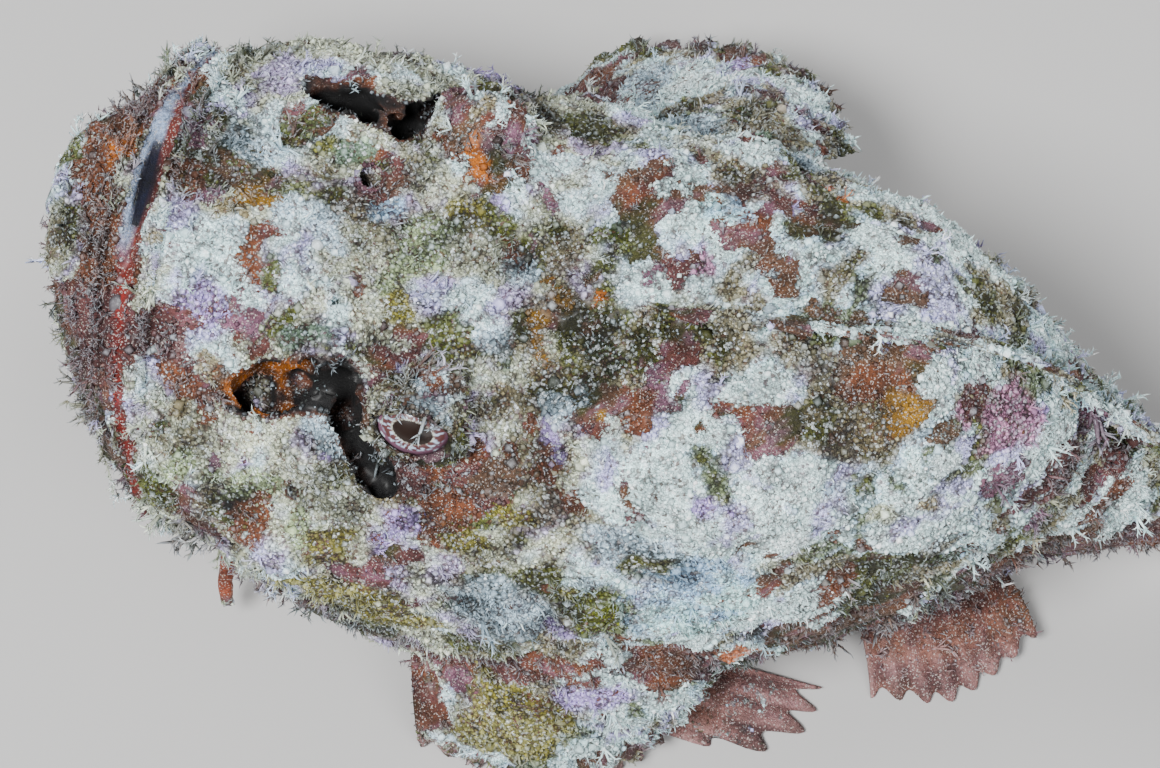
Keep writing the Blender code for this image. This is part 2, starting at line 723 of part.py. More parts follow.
def turrets(body):
    """Fleshy mounds that carry the eyes, and the raised rims of the nostrils."""
    made = []
    for side in (1.0, -1.0):
        mirror = Vector((1.0, side, 1.0))
        name = "right" if side > 0 else "left"
        size = (LID_RADIUS, LID_RADIUS, LID_RADIUS * 0.95)
        made.append(ball(f"turret_{name}", EYE_CENTRE * mirror, size, 14, 9))
        rim = on_top(NOSTRIL_X, side * NOSTRIL_Y)
        low, high = rim - Vector((0, 0, 3 * MM)), rim + Vector((0, 0, 2.2 * MM))
        made.append(rod(f"rim_{name}", low, high, 3.2 * MM, 2.4 * MM, 12))
    return combine(body, made, "UNION")


def eye(name, side):
    """Eyeball."""
    return ball(name, EYE_CENTRE * Vector((1.0, side, 1.0)), (EYE_RADIUS,) * 3, 14, 9)


def part_body(body):
    """Parts the carved body into its named nodes, a gap apart."""
    down, inward = mouth_frame()
    half = GAP / 2.0
    back, front = Vector((1, 0, 0)), Vector((-1, 0, 0))
    jaw = copy_of(body, "lower_jaw")
    clip(jaw, half_space("a", LIP_TIP - inward * half, inward))
    covers = []
    for side, name in ((-1.0, "left"), (1.0, "right")):
        cover = copy_of(body, f"gill_cover_{name}")
        clip(cover, side_patch("b", *GILL_COVER, side, GILL_DEPTH))
        covers.append(cover)
        plate = copy_of(body, f"upper_jaw_{name}")
        clip(plate, side_patch("c", *UPPER_JAW, side, UPPER_JAW_DEPTH))
        clip(plate, half_space("c_front", LIP_TIP + inward * half, -inward))
        covers.append(plate)
    head = copy_of(body, "head")
    clip(head, half_space("d", LIP_TIP + inward * half, -inward))
    clip(head, half_space("e", (HEAD_END - half, 0, 0), back))
    rooms = []
    for side in (-1.0, 1.0):
        rooms.append(side_patch(f"room_{side}", *GILL_COVER, side, GILL_DEPTH, GAP, GILL_SLIT))
        rooms.append(side_patch(f"plate_room_{side}", *UPPER_JAW, side, UPPER_JAW_DEPTH, GAP))
    combine(head, rooms, "DIFFERENCE")
    lengths = [head, jaw, *covers]
    cuts = (
        ("torso", HEAD_END, TORSO_END),
        ("tail", TORSO_END, TAIL_END),
        ("tail_root", TAIL_END, BEYOND_TAIL),
    )
    for name, start, end in cuts:
        piece = copy_of(body, name)
        clip(piece, half_space("f", (start + half, 0, 0), front))
        clip(piece, half_space("g", (end - half, 0, 0), back))
        lengths.append(piece)
    for piece in lengths:
        keep_largest(piece)
    return lengths


def on_side(points, side):
    """Points given for the right side, on the side asked for."""
    return np.array(points, float) * (1.0, side, 1.0)


def pectoral_fin(name, side, grown):
    """Broad fan from the shoulder, its lower rays thick and resting on the bottom."""
    fan = (RIGHT_PECTORAL_BASE, RIGHT_PECTORAL_PULL, RIGHT_PECTORAL_EDGE)
    if side < 0:
        fan = (LEFT_PECTORAL_BASE, LEFT_PECTORAL_PULL, LEFT_PECTORAL_EDGE)
    lists = [on_side(points, side) for points in fan]
    return cut_from_body(fan_fin(name, *lists, PECTORAL_RAYS, 5.0 * MM, 1.5 * MM, 0.07), grown)


def pelvic_fin(name, side, grown):
    """Small fin under the breast, spread flat on the bottom."""
    lists = [on_side(points, side) for points in (PELVIC_BASE, PELVIC_PULL, PELVIC_EDGE)]
    return cut_from_body(fan_fin(name, *lists, PELVIC_RAYS, 2.6 * MM, 1.5 * MM, 0.06, 5), grown)


def median_fin(name, first, last, rays, height, rise, side_lean, notch, grown):
    """Half-folded fin along the midline: rays rise a little from the line of the back and lean aside."""
    count = 3 * (rays - 1) + 1
    share = np.linspace(0.0, 1.0, count)
    phase = share * (rays - 1) % 1.0
    ridge = np.maximum(ray_ridge(share * (rays - 1)), 0.0)
    x = (first + (last - first) * share) * MM
    root = np.stack([x, np.zeros(count), section(x)[1] - DORSAL_ROOT_DEPTH], axis=-1)
    hollow = 1.0 - notch * np.where(ridge > 0.9, 0.0, 0.35 + 0.65 * phase)
    tall = monotone_curve(np.linspace(0.0, 1.0, len(height)), np.array(height) * MM, share)
    slope = (section(x + BACK_SPAN)[1] - section(x - BACK_SPAN)[1]) / (2.0 * BACK_SPAN)
    along = np.stack([np.ones(count), np.zeros(count), slope], axis=-1) / np.hypot(1.0, slope)[:, None]
    up = np.stack([-along[:, 2], np.zeros(count), along[:, 0]], axis=-1)
    aside = up * math.cos(side_lean) - np.array((0.0, math.sin(side_lean), 0.0))
    direction = along * math.cos(rise) + aside * math.sin(rise)
    v = np.linspace(0.0, 1.0, 4)
    reach = (DORSAL_ROOT_DEPTH + tall * hollow)[:, None] * v[None, :]
    middle = root[:, None] + direction[:, None] * reach[..., None]
    thickness = (2.6 - 1.5 * v[None, :]) * MM * (0.5 + 0.5 * ridge[:, None])
    return cut_from_body(sheet(name, middle, np.maximum(thickness, THINNEST_FIN)), grown)


def anal_fin(name, grown):
    """Fin under the tail, laid over to the left and resting on the bottom."""
    lists = (ANAL_BASE, ANAL_PULL, ANAL_EDGE)
    return cut_from_body(fan_fin(name, *lists, ANAL_RAYS, 3.0 * MM, 1.4 * MM, 0.06), grown)


def caudal_fin(name, grown):
    """Rounded fan at the end of the tail."""
    lists = (CAUDAL_BASE, CAUDAL_PULL, CAUDAL_EDGE)
    return cut_from_body(fan_fin(name, *lists, CAUDAL_RAYS, 4.4 * MM, 1.3 * MM, 0.05), grown)


def place_in_pose(made):
    """Bends the straight fish into its pose and moves it over the origin."""
    count = len(made.data.vertices)
    flat = np.empty(count * 3)
    made.data.vertices.foreach_get("co", flat)
    points = flat.reshape(-1, 3)
    fine = np.linspace(-0.02, 0.32, 3401)
    share = np.clip((fine - BEND_START) / (BEND_END - BEND_START), 0.0, 1.0)
    heading = BEND_ANGLE * share * share * (3.0 - 2.0 * share)
    step = np.diff(fine)
    line_x = fine[0] + np.concatenate([[0.0], np.cumsum(np.cos(heading[:-1]) * step)])
    line_y = np.concatenate([[0.0], np.cumsum(np.sin(heading[:-1]) * step)])
    angle = np.interp(points[:, 0], fine, heading)
    x = np.interp(points[:, 0], fine, line_x) - points[:, 1] * np.sin(angle)
    y = np.interp(points[:, 0], fine, line_y) + points[:, 1] * np.cos(angle)
    placed = np.stack([x, y, points[:, 2]], axis=-1) + np.array(CENTRE_SHIFT)
    made.data.vertices.foreach_set("co", placed.reshape(-1))
    made.data.update()


def finish(made, colour, roughness, group):
    """Material, smooth shading and the named collection."""
    material = bpy.data.materials.new(made.name)
    material.use_nodes = True
    shader = material.node_tree.nodes["Principled BSDF"]
    shader.inputs["Base Color"].default_value = colour
    shader.inputs["Roughness"].default_value = roughness
    made.data.materials.clear()
    made.data.materials.append(material)
    made.data.shade_smooth()
    made.data.set_sharp_from_angle(angle=math.radians(50.0))
    for holder in list(made.users_collection):
        holder.objects.unlink(made)
    group.objects.link(made)


def body_nodes(rng):
    """The body with all that grows on it, carved and parted."""
    body = whole_body("body")
    clip(body, half_space("floor", (0, 0, 0), (0, 0, -1)))
    turrets(body)
    growths = head_spikes() + head_flaps(rng) + jaw_flaps(rng)
    growths += [cheek_finger(-1.0), cheek_finger(1.0), lip("jaw_lip", -1), lip("upper_lip", 1)]
    growths += back_flaps("torso", 100.0, 154.0, rng) + back_flaps("tail", 163.0, 190.0, rng)
    combine(body, growths, "UNION")
    carve_head(body)
    pieces = part_body(body)
    remove(body)
    return pieces


def fin_nodes():
    """All fins, each cut along the body."""
    grown = whole_body("grown", GAP)
    pieces = []
    for side, name in ((-1.0, "left"), (1.0, "right")):
        pieces.append(pectoral_fin(f"pectoral_fin_{name}", side, grown))
        pieces.append(pelvic_fin(f"pelvic_fin_{name}", side, grown))
    pieces.append(median_fin("spiny_dorsal_fin", *SPINY_DORSAL, SPINY_NOTCH, grown))
    pieces.append(median_fin("soft_dorsal_fin", *SOFT_DORSAL, SOFT_NOTCH, grown))
    pieces.append(anal_fin("anal_fin", grown))
    pieces.append(caudal_fin("caudal_fin", grown))
    remove(grown)
    return pieces


def colour_of(name):
    if "eye" in name:
        return EYE_BROWN
    if name.startswith(("lower_jaw", "upper_jaw", "anal", "pelvic")):
        return RUST
    return LILAC if "fin" in name else SKIN


def main():
    for old in list(bpy.data.objects):
        bpy.data.objects.remove(old, do_unlink=True)
    group = bpy.data.collections.new("scorpionfish")
    bpy.context.scene.collection.children.link(group)
    pieces = body_nodes(np.random.default_rng(11)) + fin_nodes()
    pieces += [eye("eye_left", -1.0), eye("eye_right", 1.0)]
    for piece in pieces:
        keep_largest(piece)
        place_in_pose(piece)
        finish(piece, colour_of(piece.name), 0.15 if "eye" in piece.name else 0.8, group)


main()
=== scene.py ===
"""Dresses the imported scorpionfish: one crusted skin over the body, fins with fine rays, eyes,
and a coat of granules, knobs, fingers and branched flaps, on a plain floor under soft light.

Shapes are worked out for a straight fish, in metres (x from the chin to the tail, y to its
right, z up), and bend() puts every point in its place in the pose.
"""

import json
import math

import bpy
import numpy as np
from bpy.props import FloatProperty, FloatVectorProperty, IntProperty, PointerProperty
from mathutils import Matrix, Vector

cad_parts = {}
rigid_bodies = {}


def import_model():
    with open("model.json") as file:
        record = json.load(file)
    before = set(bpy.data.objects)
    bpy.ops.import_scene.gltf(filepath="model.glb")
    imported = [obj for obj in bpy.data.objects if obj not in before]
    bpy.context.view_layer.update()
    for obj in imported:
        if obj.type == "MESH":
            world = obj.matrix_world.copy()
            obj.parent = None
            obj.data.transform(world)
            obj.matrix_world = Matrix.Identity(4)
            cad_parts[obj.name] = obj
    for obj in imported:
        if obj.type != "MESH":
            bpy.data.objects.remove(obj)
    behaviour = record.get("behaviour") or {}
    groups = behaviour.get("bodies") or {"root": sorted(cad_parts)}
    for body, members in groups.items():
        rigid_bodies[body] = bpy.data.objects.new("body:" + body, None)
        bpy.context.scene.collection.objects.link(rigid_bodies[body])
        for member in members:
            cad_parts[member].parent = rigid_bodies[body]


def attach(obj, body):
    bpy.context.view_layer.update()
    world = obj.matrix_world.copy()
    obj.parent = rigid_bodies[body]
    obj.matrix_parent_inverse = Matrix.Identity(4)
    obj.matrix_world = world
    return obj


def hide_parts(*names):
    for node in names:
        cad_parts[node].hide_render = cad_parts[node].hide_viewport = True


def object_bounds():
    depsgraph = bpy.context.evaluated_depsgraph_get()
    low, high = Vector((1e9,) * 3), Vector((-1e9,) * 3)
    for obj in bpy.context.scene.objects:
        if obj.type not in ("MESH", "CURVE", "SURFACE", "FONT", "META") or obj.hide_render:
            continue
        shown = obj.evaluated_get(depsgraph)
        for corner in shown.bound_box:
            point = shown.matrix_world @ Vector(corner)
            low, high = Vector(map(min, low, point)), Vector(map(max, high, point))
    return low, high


bl_info = {
    "name": "Scorpionfish dresser",
    "version": (1, 0, 0),
    "blender": (4, 5, 0),
    "location": "View3D > Sidebar > Scorpionfish",
    "description": "Builds the skin, fins, eyes and coat of a resting scorpionfish",
    "category": "Object",
}

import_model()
BOX_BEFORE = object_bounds()

MM = 0.001
FLESH = (
    "head", "lower_jaw", "upper_jaw_left", "upper_jaw_right", "gill_cover_left",
    "gill_cover_right", "torso", "tail", "tail_root",
)

# Length of the body on the unwrap of its skin
UNWRAPPED_LENGTH = 0.222

# Body sections in mm: distance from the chin, half width, top, bottom, widest height
STATIONS = np.array((
    (0.0, 0.0, 50.0, 50.0, 50.0), (2.0, 9.0, 56.0, 46.0, 51.0), (5.0, 14.5, 61.5, 40.0, 50.0),
    (12.0, 26.0, 67.0, 31.0, 47.0), (20.0, 33.5, 66.5, 22.0, 44.0), (34.0, 40.5, 68.5, 11.0, 38.0),
    (50.0, 44.5, 72.0, 4.0, 33.0), (70.0, 46.5, 76.0, 0.5, 31.0), (90.0, 47.0, 82.0, -1.0, 31.0),
    (110.0, 44.5, 91.0, -1.5, 33.0), (133.0, 36.5, 97.0, -1.5, 34.0), (150.0, 30.0, 90.0, -1.0, 34.0),
    (165.0, 22.5, 77.0, 1.5, 33.0), (180.0, 14.0, 62.0, 6.0, 33.0), (195.0, 9.5, 50.0, 9.5, 29.0),
    (207.0, 7.5, 43.0, 11.5, 27.0), (218.0, 6.0, 40.0, 13.0, 26.5),
)) * MM
UPPER_SQUARENESS = 2.2
LOWER_SQUARENESS = 2.6

# Swellings and hollows of the body in mm: x, y, z, radius, height, on both sides
RELIEF = (
    (61.0, 17.0, 72.0, 13.0, 3.0), (44.0, 17.0, 65.0, 7.0, 3.2), (60.0, 0.0, 75.0, 12.0, -5.5),
    (47.0, 31.0, 61.0, 7.0, 2.4), (74.0, 25.0, 75.0, 6.0, -2.2), (78.0, 12.0, 78.0, 9.0, -2.5),
    (90.0, 20.0, 78.0, 9.0, 3.5), (30.0, 0.0, 68.0, 8.0, 2.2),
    (36.0, 37.0, 46.0, 8.0, 3.0), (50.0, 42.0, 46.0, 8.0, 3.4), (66.0, 45.0, 44.0, 8.0, 3.0),
    (44.0, 36.0, 22.0, 9.0, -4.5), (22.0, 14.0, 66.0, 6.0, 1.8), (4.0, 10.0, 56.0, 6.0, 1.6),
    (84.0, 45.0, 56.0, 8.0, 2.6), (104.0, 30.0, 82.0, 12.0, 3.5), (120.0, 10.0, 97.0, 10.0, 1.5),
    (140.0, 24.0, 66.0, 9.0, 1.8), (128.0, 34.0, 40.0, 9.0, 1.8),
)

BEND_ANGLE = math.radians(12.0)
BEND_START, BEND_END = 40.0 * MM, 170.0 * MM
CENTRE_SHIFT = np.array((-0.1290, -0.0131, 0.0))

LIP_TIP = np.array((12.5, 0.0, 67.0)) * MM
LIP_DOWN = np.array((0.4366, 0.0, -0.8996))
LIP_INWARD = np.array((0.8996, 0.0, 0.4366))
GAPE_CENTRE = LIP_TIP + (0.0, 2.5 * MM, 0.0) + LIP_DOWN * 4.0 * MM
GAPE_REACH = (16.5 * MM, 14.0 * MM)
EYE_CENTRE = np.array((61.35, 24.25, 70.5)) * MM
EYE_RADIUS = 6.8 * MM
LID_AXIS = np.array((-0.10, 0.72, 0.69))
LID_AXIS /= np.linalg.norm(LID_AXIS)
LID_RADIUS = 9.0 * MM
EYE_WINDOW = np.array((5.9, 3.3, 7.4)) * MM
EYE_DROP = 0.8 * MM

# Half width and half height of the pupil and the ring, in eye radii
PUPIL = (0.46, 0.28)
RING = (0.72, 0.5)
NOSTRIL = (45.5 * MM, 11.0 * MM)

# The pit before the eye and the gully under it, on the right: x, y, z, half width, half depth in mm
PIT = (
    (35.5, 26.4, 60.0, 2.6, 4.0), (38.5, 25.0, 61.0, 3.9, 5.0), (42.5, 23.2, 62.5, 4.7, 6.0),
    (46.5, 21.8, 63.8, 4.6, 6.5), (50.0, 22.4, 65.0, 4.0, 6.0), (52.4, 25.4, 65.0, 3.2, 4.5),
    (55.2, 28.8, 63.4, 2.6, 4.2), (58.6, 32.0, 60.8, 2.1, 4.2), (62.0, 34.2, 59.0, 1.5, 4.0),
)

# How far the three cutters of the pit lie under its line, in half depths, and how ragged they are
PIT_SINKS = (-0.35, 0.1, 0.55)
PIT_RAGGED = 1.0 * MM

# Fans of rays in mm on the fish's right: points along the root, the pull and the edge
LEFT_PECTORAL = (
    ((92, 38, 52), (88, 41, 34), (84, 40, 20), (79, 34, 9)),
    ((104, 47, 58), (106, 56, 34), (98, 59, 20), (82, 54, 10)),
    ((123, 33, 40), (126, 42, 18), (119, 51, 0.6), (103, 57, 0.5), (86, 55, 0.5)),
)
RIGHT_PECTORAL = (
    ((98, 36, 60), (92, 40, 46), (86, 41, 28), (79, 34, 9)),
    ((114, 40, 66), (118, 53, 61), (112, 64, 48), (98, 67, 28), (82, 55, 9)),
    ((126, 39, 61), (138, 50, 48), (137, 63, 39), (124, 75, 25), (104, 79, 11), (84, 62, 0.4)),
)
PELVIC = (
    ((84, 26, 4.5), (90, 24, 4.5), (97, 22, 4.5)),
    ((98, 40, 3.4), (112, 38, 2.8), (124, 30, 2.0)),
    ((118, 46, 0.6), (138, 46, 0.5), (149, 40, 0.5), (151, 33, 0.6)),
)
ANAL = (
    ((150, -4, 3.5), (162, -4, 5), (176, -3, 8)),
    ((157, -20, 5.5), (170, -18, 6.5), (185, -12, 9)),
    ((160, -34, 0.5), (172, -34, 0.5), (182, -29, 1), (190, -21, 5)),
)
CAUDAL = (
    ((214, 0, 38), (214, 0, 27), (214, 0, 15)),
    ((232, 0, 47), (236, -0.5, 27), (232, 0, 9)),
    ((250, 0.5, 55), (258, 0, 44), (261, 0, 28), (258, 0, 13), (250, 0.5, 2.5)),
)
SPINY_DORSAL = (88.0, 158.0, 12, (13, 18, 20, 20, 18, 15, 12), math.radians(34.0), math.radians(40.0))
SOFT_DORSAL = (162.0, 192.0, 9, (14, 19, 20, 17, 12), math.radians(46.0), math.radians(30.0))


# Lights: name, place, size and share of the key light's power
LIGHTS = (
    ("key", (-0.5, -0.45, 0.85), 0.3, 1.0), ("fill", (0.5, -0.7, 0.6), 0.9, 0.32),
    ("back", (0.3, 0.8, 0.7), 0.8, 0.4),
)
CAMERA_PLACE = (-0.17264, -0.25691, 0.63180)
CAMERA_TURN = ((0.93039, -0.30142, -0.20857), (0.20869, 0.90339, -0.37461), (0.30133, 0.30500, 0.90341))
CAMERA_LENS = (123.1, 36.0)


# Shape functions


def monotone_curve(x, y, query):
    """Cubic through the points whose slopes are weighted harmonic means, so it never overshoots."""
    query = np.clip(query, x[0], x[-1])
    step = np.diff(x)
    slope = np.diff(y) / step
    before, after = slope[:-1], slope[1:]
    heavy, light = 2.0 * step[1:] + step[:-1], step[1:] + 2.0 * step[:-1]
    same = before * after > 0.0
    mean = (heavy + light) / (heavy / np.where(same, before, 1.0) + light / np.where(same, after, 1.0))
    tangent = np.concatenate([slope[:1], np.where(same, mean, 0.0), slope[-1:]])
    i = np.clip(np.searchsorted(x, query, side="right") - 1, 0, len(step) - 1)
    t = (query - x[i]) / step[i]
    rise = t * t * (3.0 - 2.0 * t)
    pull = step[i] * (t * (1.0 - t) ** 2 * tangent[i] + t * t * (t - 1.0) * tangent[i + 1])
    return (1.0 - rise) * y[i] + pull + rise * y[i + 1]


def section(x):
    """Half width, top, bottom and widest height of the body at x."""
    return [monotone_curve(STATIONS[:, 0], STATIONS[:, k], np.asarray(x, float)) for k in (1, 2, 3, 4)]


def body_point(x, turn):
    """Superellipse section at x: y = width sin^p, z = middle + reach cos^p, turn 0 at the top."""
    width, top, bottom, middle = section(x)
    up, across = np.cos(turn), np.sin(turn)
    power = np.where(up > 0.0, 2.0 / UPPER_SQUARENESS, 2.0 / LOWER_SQUARENESS)
    y = width * np.sign(across) * np.abs(across) ** power
    reach = np.where(up > 0.0, top - middle, middle - bottom)
    z = middle + reach * np.sign(up) * np.abs(up) ** power
    return np.stack([np.broadcast_to(x, y.shape), y, z], axis=-1)


def fullness(points):
    """1 on the bare body's surface, less inside and more outside: the superellipse's own measure."""
    width, top, bottom, middle = section(points[:, 0])
    above = points[:, 2] > middle
    power = np.where(above, UPPER_SQUARENESS, LOWER_SQUARENESS)
    reach = np.where(above, top - middle, middle - bottom)
    total = (np.abs(points[:, 1]) / np.maximum(width, 1e-5)) ** power
    total += (np.abs(points[:, 2] - middle) / np.maximum(reach, 1e-5)) ** power
    return total ** (1.0 / power)


def depth_inside(points):
    """Rough depth under the bare body's surface: what fullness leaves, times the section's radius."""
    width, top, bottom, _ = section(points[:, 0])
    return (1.0 - fullness(points)) * np.minimum(width, (top - bottom) / 2.0)


def side_y(x, z):
    """How far the bare body's side stands out at x and height z."""
    width, top, bottom, middle = section(x)
    above = z > middle
    power = np.where(above, UPPER_SQUARENESS, LOWER_SQUARENESS)
    reach = np.where(above, top - middle, middle - bottom)
    share = np.clip(np.abs(z - middle) / np.maximum(reach, 1e-6), 0.0, 1.0)
    return width * (1.0 - share**power) ** (1.0 / power)


def top_z(x, y):
    """Height of the bare body's upper surface at x and y."""
    width, top, _, middle = section(x)
    share = np.clip(np.abs(y) / np.maximum(width, 1e-6), 0.0, 1.0)
    return middle + (top - middle) * (1.0 - share**UPPER_SQUARENESS) ** (1.0 / UPPER_SQUARENESS)


def normalized(vectors):
    """Vectors at length 1."""
    return vectors / np.maximum(np.linalg.norm(vectors, axis=-1, keepdims=True), 1e-12)


def grid_normals(points):
    """Cross product of a grid's two directions."""
    return normalized(np.cross(np.gradient(points, axis=1), np.gradient(points, axis=0)))


def grid_faces(rows, columns, closed=False):
    """Quads of a grid of points, with the last column joined to the first where it is closed."""
    i, j = np.meshgrid(np.arange(rows - 1), np.arange(columns if closed else columns - 1), indexing="ij")
    k = (j + 1) % columns
    a, b = i * columns + j, i * columns + k
    return np.stack([a, b, b + columns, a + columns], axis=-1).reshape(-1, 4)


def halved(quads):
    """Two triangles for each quad."""
    return np.concatenate([quads[:, [0, 1, 2]], quads[:, [0, 2, 3]]])


def end_caps(around, rows, start, end):
    """Fans of triangles that close a tube of rows of points on a start and an end point."""
    j = np.arange(around)
    k = (j + 1) % around
    last = (rows - 1) * around
    first_fan = np.stack([np.full(around, start), k, j], -1)
    return [first_fan, np.stack([np.full(around, end), last + j, last + k], -1)]


def bend_heading(x):
    """Heading of the centre line at x: the fade 3t^2 - 2t^3 from the bend's start to its end."""
    share = np.clip((x - BEND_START) / (BEND_END - BEND_START), 0.0, 1.0)
    return BEND_ANGLE * share * share * (3.0 - 2.0 * share)


def bend(points):
    """Places points of the straight fish in the pose: the centre line's heading is added up along it."""
    fine = np.linspace(-0.02, 0.32, 3401)
    heading = bend_heading(fine)
    step = np.diff(fine)
    line_x = fine[0] + np.concatenate([[0.0], np.cumsum(np.cos(heading[:-1]) * step)])
    line_y = np.concatenate([[0.0], np.cumsum(np.sin(heading[:-1]) * step)])
    angle = np.interp(points[:, 0], fine, heading)
    x = np.interp(points[:, 0], fine, line_x) - points[:, 1] * np.sin(angle)
    y = np.interp(points[:, 0], fine, line_y) + points[:, 1] * np.cos(angle)
    return np.stack([x, y, points[:, 2]], axis=-1) + CENTRE_SHIFT


def turn_with_bend(points, directions):
    """Directions of the straight fish, turned as the body is at those points."""
    angle = bend_heading(points[:, 0])
    x = directions[:, 0] * np.cos(angle) - directions[:, 1] * np.sin(angle)
    y = directions[:, 0] * np.sin(angle) + directions[:, 1] * np.cos(angle)
    return np.stack([x, y, directions[:, 2]], axis=-1)


def noise(points, scale, seed=0.0):
    """Smooth value from -1 to 1: random numbers at a grid's corners, blended by the fade 3t^2 - 2t^3."""
    place = points / scale + np.array((37.3, 91.7, 13.1)) + seed * 7.77
    cell = np.floor(place).astype(np.int64)
    fade = place - cell
    fade = fade * fade * (3.0 - 2.0 * fade)
    total = np.zeros(len(points))
    for corner in np.ndindex(2, 2, 2):
        at = cell + corner
        mixed = at[:, 0] * 73856093 ^ at[:, 1] * 19349663 ^ at[:, 2] * 83492791
        mixed = (mixed ^ (mixed >> 13)) * 1274126177
        value = ((mixed ^ (mixed >> 16)) & 0xFFFF) / 32767.5 - 1.0
        share = np.prod(np.where(np.array(corner, bool), fade, 1.0 - fade), axis=1)
        total += value * share
    return total


def layered_noise(points, scale, seed=0.0, layers=3):
    """Sum of noise at halving scales and strengths."""
    total = np.zeros(len(points))
    for k in range(layers):
        total += noise(points, scale / 2.0**k, seed + k) * 0.5**k
    return total / 1.6


def smooth_step(low, high, value):
    """0 below low, 1 above high, and the fade 3t^2 - 2t^3 between."""
    t = np.clip((value - low) / (high - low), 0.0, 1.0)
    return t * t * (3.0 - 2.0 * t)


# Meshes


def mesh_object(name, points, faces, colours=None, unwrap=None, straight=None):
    """Object at the origin with these points and faces; colours and places are kept per point."""
    mesh = bpy.data.meshes.new(name)
    mesh.vertices.add(len(points))
    mesh.vertices.foreach_set("co", np.asarray(points, np.float32).ravel())
    corners = np.asarray(faces, np.int32)
    mesh.loops.add(corners.size)
    mesh.loops.foreach_set("vertex_index", corners.ravel())
    mesh.polygons.add(len(corners))
    mesh.polygons.foreach_set("loop_start", np.arange(0, corners.size, corners.shape[1], dtype=np.int32))
    mesh.update(calc_edges=True)
    if colours is not None:
        paint(mesh, "marking", colours)
    if unwrap is not None:
        layer = mesh.uv_layers.new(name="OFBake")
        layer.data.foreach_set("uv", np.asarray(unwrap, np.float32)[corners.ravel()].ravel())
    if straight is not None:
        store(mesh, "straight", straight)
    mesh.shade_smooth()
    made = bpy.data.objects.new(name, mesh)
    bpy.context.scene.collection.objects.link(made)
    return made


def paint(mesh, name, colours, alpha=1.0):
    """Keeps a colour per point under a name."""
    full = np.ones((len(colours), 4), np.float32)
    full[:, :3], full[:, 3] = colours, alpha
    tint = mesh.color_attributes.new(name, "FLOAT_COLOR", "POINT")
    tint.data.foreach_set("color", full.ravel())


def paint_layers(mesh, crust, bare, cover):
    """Keeps the crust's colour with its cover as alpha, and the bare skin's colour."""
    paint(mesh, "marking", crust, cover)
    paint(mesh, "bare", bare)


def store(mesh, name, vectors):
    """Keeps a vector per point on a mesh."""
    kept = mesh.attributes.new(name, "FLOAT_VECTOR", "POINT")
    kept.data.foreach_set("vector", np.asarray(vectors, np.float32).ravel())


def stored(mesh, name, count):
    """The vectors per point that a mesh keeps under a name."""
    values = np.empty(count * 3, np.float32)
    mesh.attributes[name].data.foreach_get("vector", values)
    return values.reshape(-1, 3).astype(float)


def points_of(mesh):
    """A mesh's points as rows."""
    values = np.empty(len(mesh.vertices) * 3, np.float32)
    mesh.vertices.foreach_get("co", values)
    return values.reshape(-1, 3).astype(float)


def triangles_of(mesh):
    """A mesh's triangles as rows of three point numbers."""
    mesh.calc_loop_triangles()
    corners = np.empty(len(mesh.loop_triangles) * 3, np.int32)
    mesh.loop_triangles.foreach_get("vertices", corners)
    return corners.reshape(-1, 3)


def vertex_normals(points, triangles):
    """Sum of the area-weighted face normals at each point."""
    edge_a = points[triangles[:, 1]] - points[triangles[:, 0]]
    edge_b = points[triangles[:, 2]] - points[triangles[:, 0]]
    face = np.cross(edge_a, edge_b)
    total = np.stack([
        sum(np.bincount(triangles[:, c], face[:, k], len(points)) for c in range(3)) for k in range(3)
    ], axis=-1)
    return normalized(total)


def remove(made):
    """Deletes an object and its mesh."""
    mesh = made.data
    bpy.data.objects.remove(made, do_unlink=True)
    bpy.data.meshes.remove(mesh)


def apply_modifiers(made):
    """Replaces an object's mesh by what its modifiers make of it."""
    graph = bpy.context.evaluated_depsgraph_get()
    graph.update()
    fresh = bpy.data.meshes.new_from_object(made.evaluated_get(graph))
    old = made.data
    made.modifiers.clear()
    made.data = fresh
    bpy.data.meshes.remove(old)


def ellipsoid(name, centre, radii, axes=None, around=64, rings=40):
    """Point = centre + sum of radius times axis times the unit sphere's longitude and latitude."""
    turn = np.linspace(0.0, 2.0 * math.pi, around, endpoint=False)
    tilt = np.linspace(0.0, math.pi, rings + 1)[1:-1]
    tilt, turn = np.meshgrid(tilt, turn, indexing="ij")
    unit = np.stack([np.sin(tilt) * np.cos(turn), np.sin(tilt) * np.sin(turn), np.cos(tilt)], axis=-1)
    unit = np.concatenate([unit.reshape(-1, 3), [(0, 0, 1), (0, 0, -1)]])
    frame_axes = np.eye(3) if axes is None else np.array(axes)
    points = np.array(centre) + (unit * radii) @ frame_axes
    faces = grid_faces(rings - 1, around, closed=True)
    faces = halved(faces)
    caps = end_caps(around, rings - 1, len(unit) - 2, len(unit) - 1)
    faces = np.concatenate([faces[:, ::-1], caps[0][:, ::-1], caps[1][:, ::-1]])
    if np.linalg.det(frame_axes) < 0:
        faces = faces[:, ::-1]
    return mesh_object(name, points, faces)


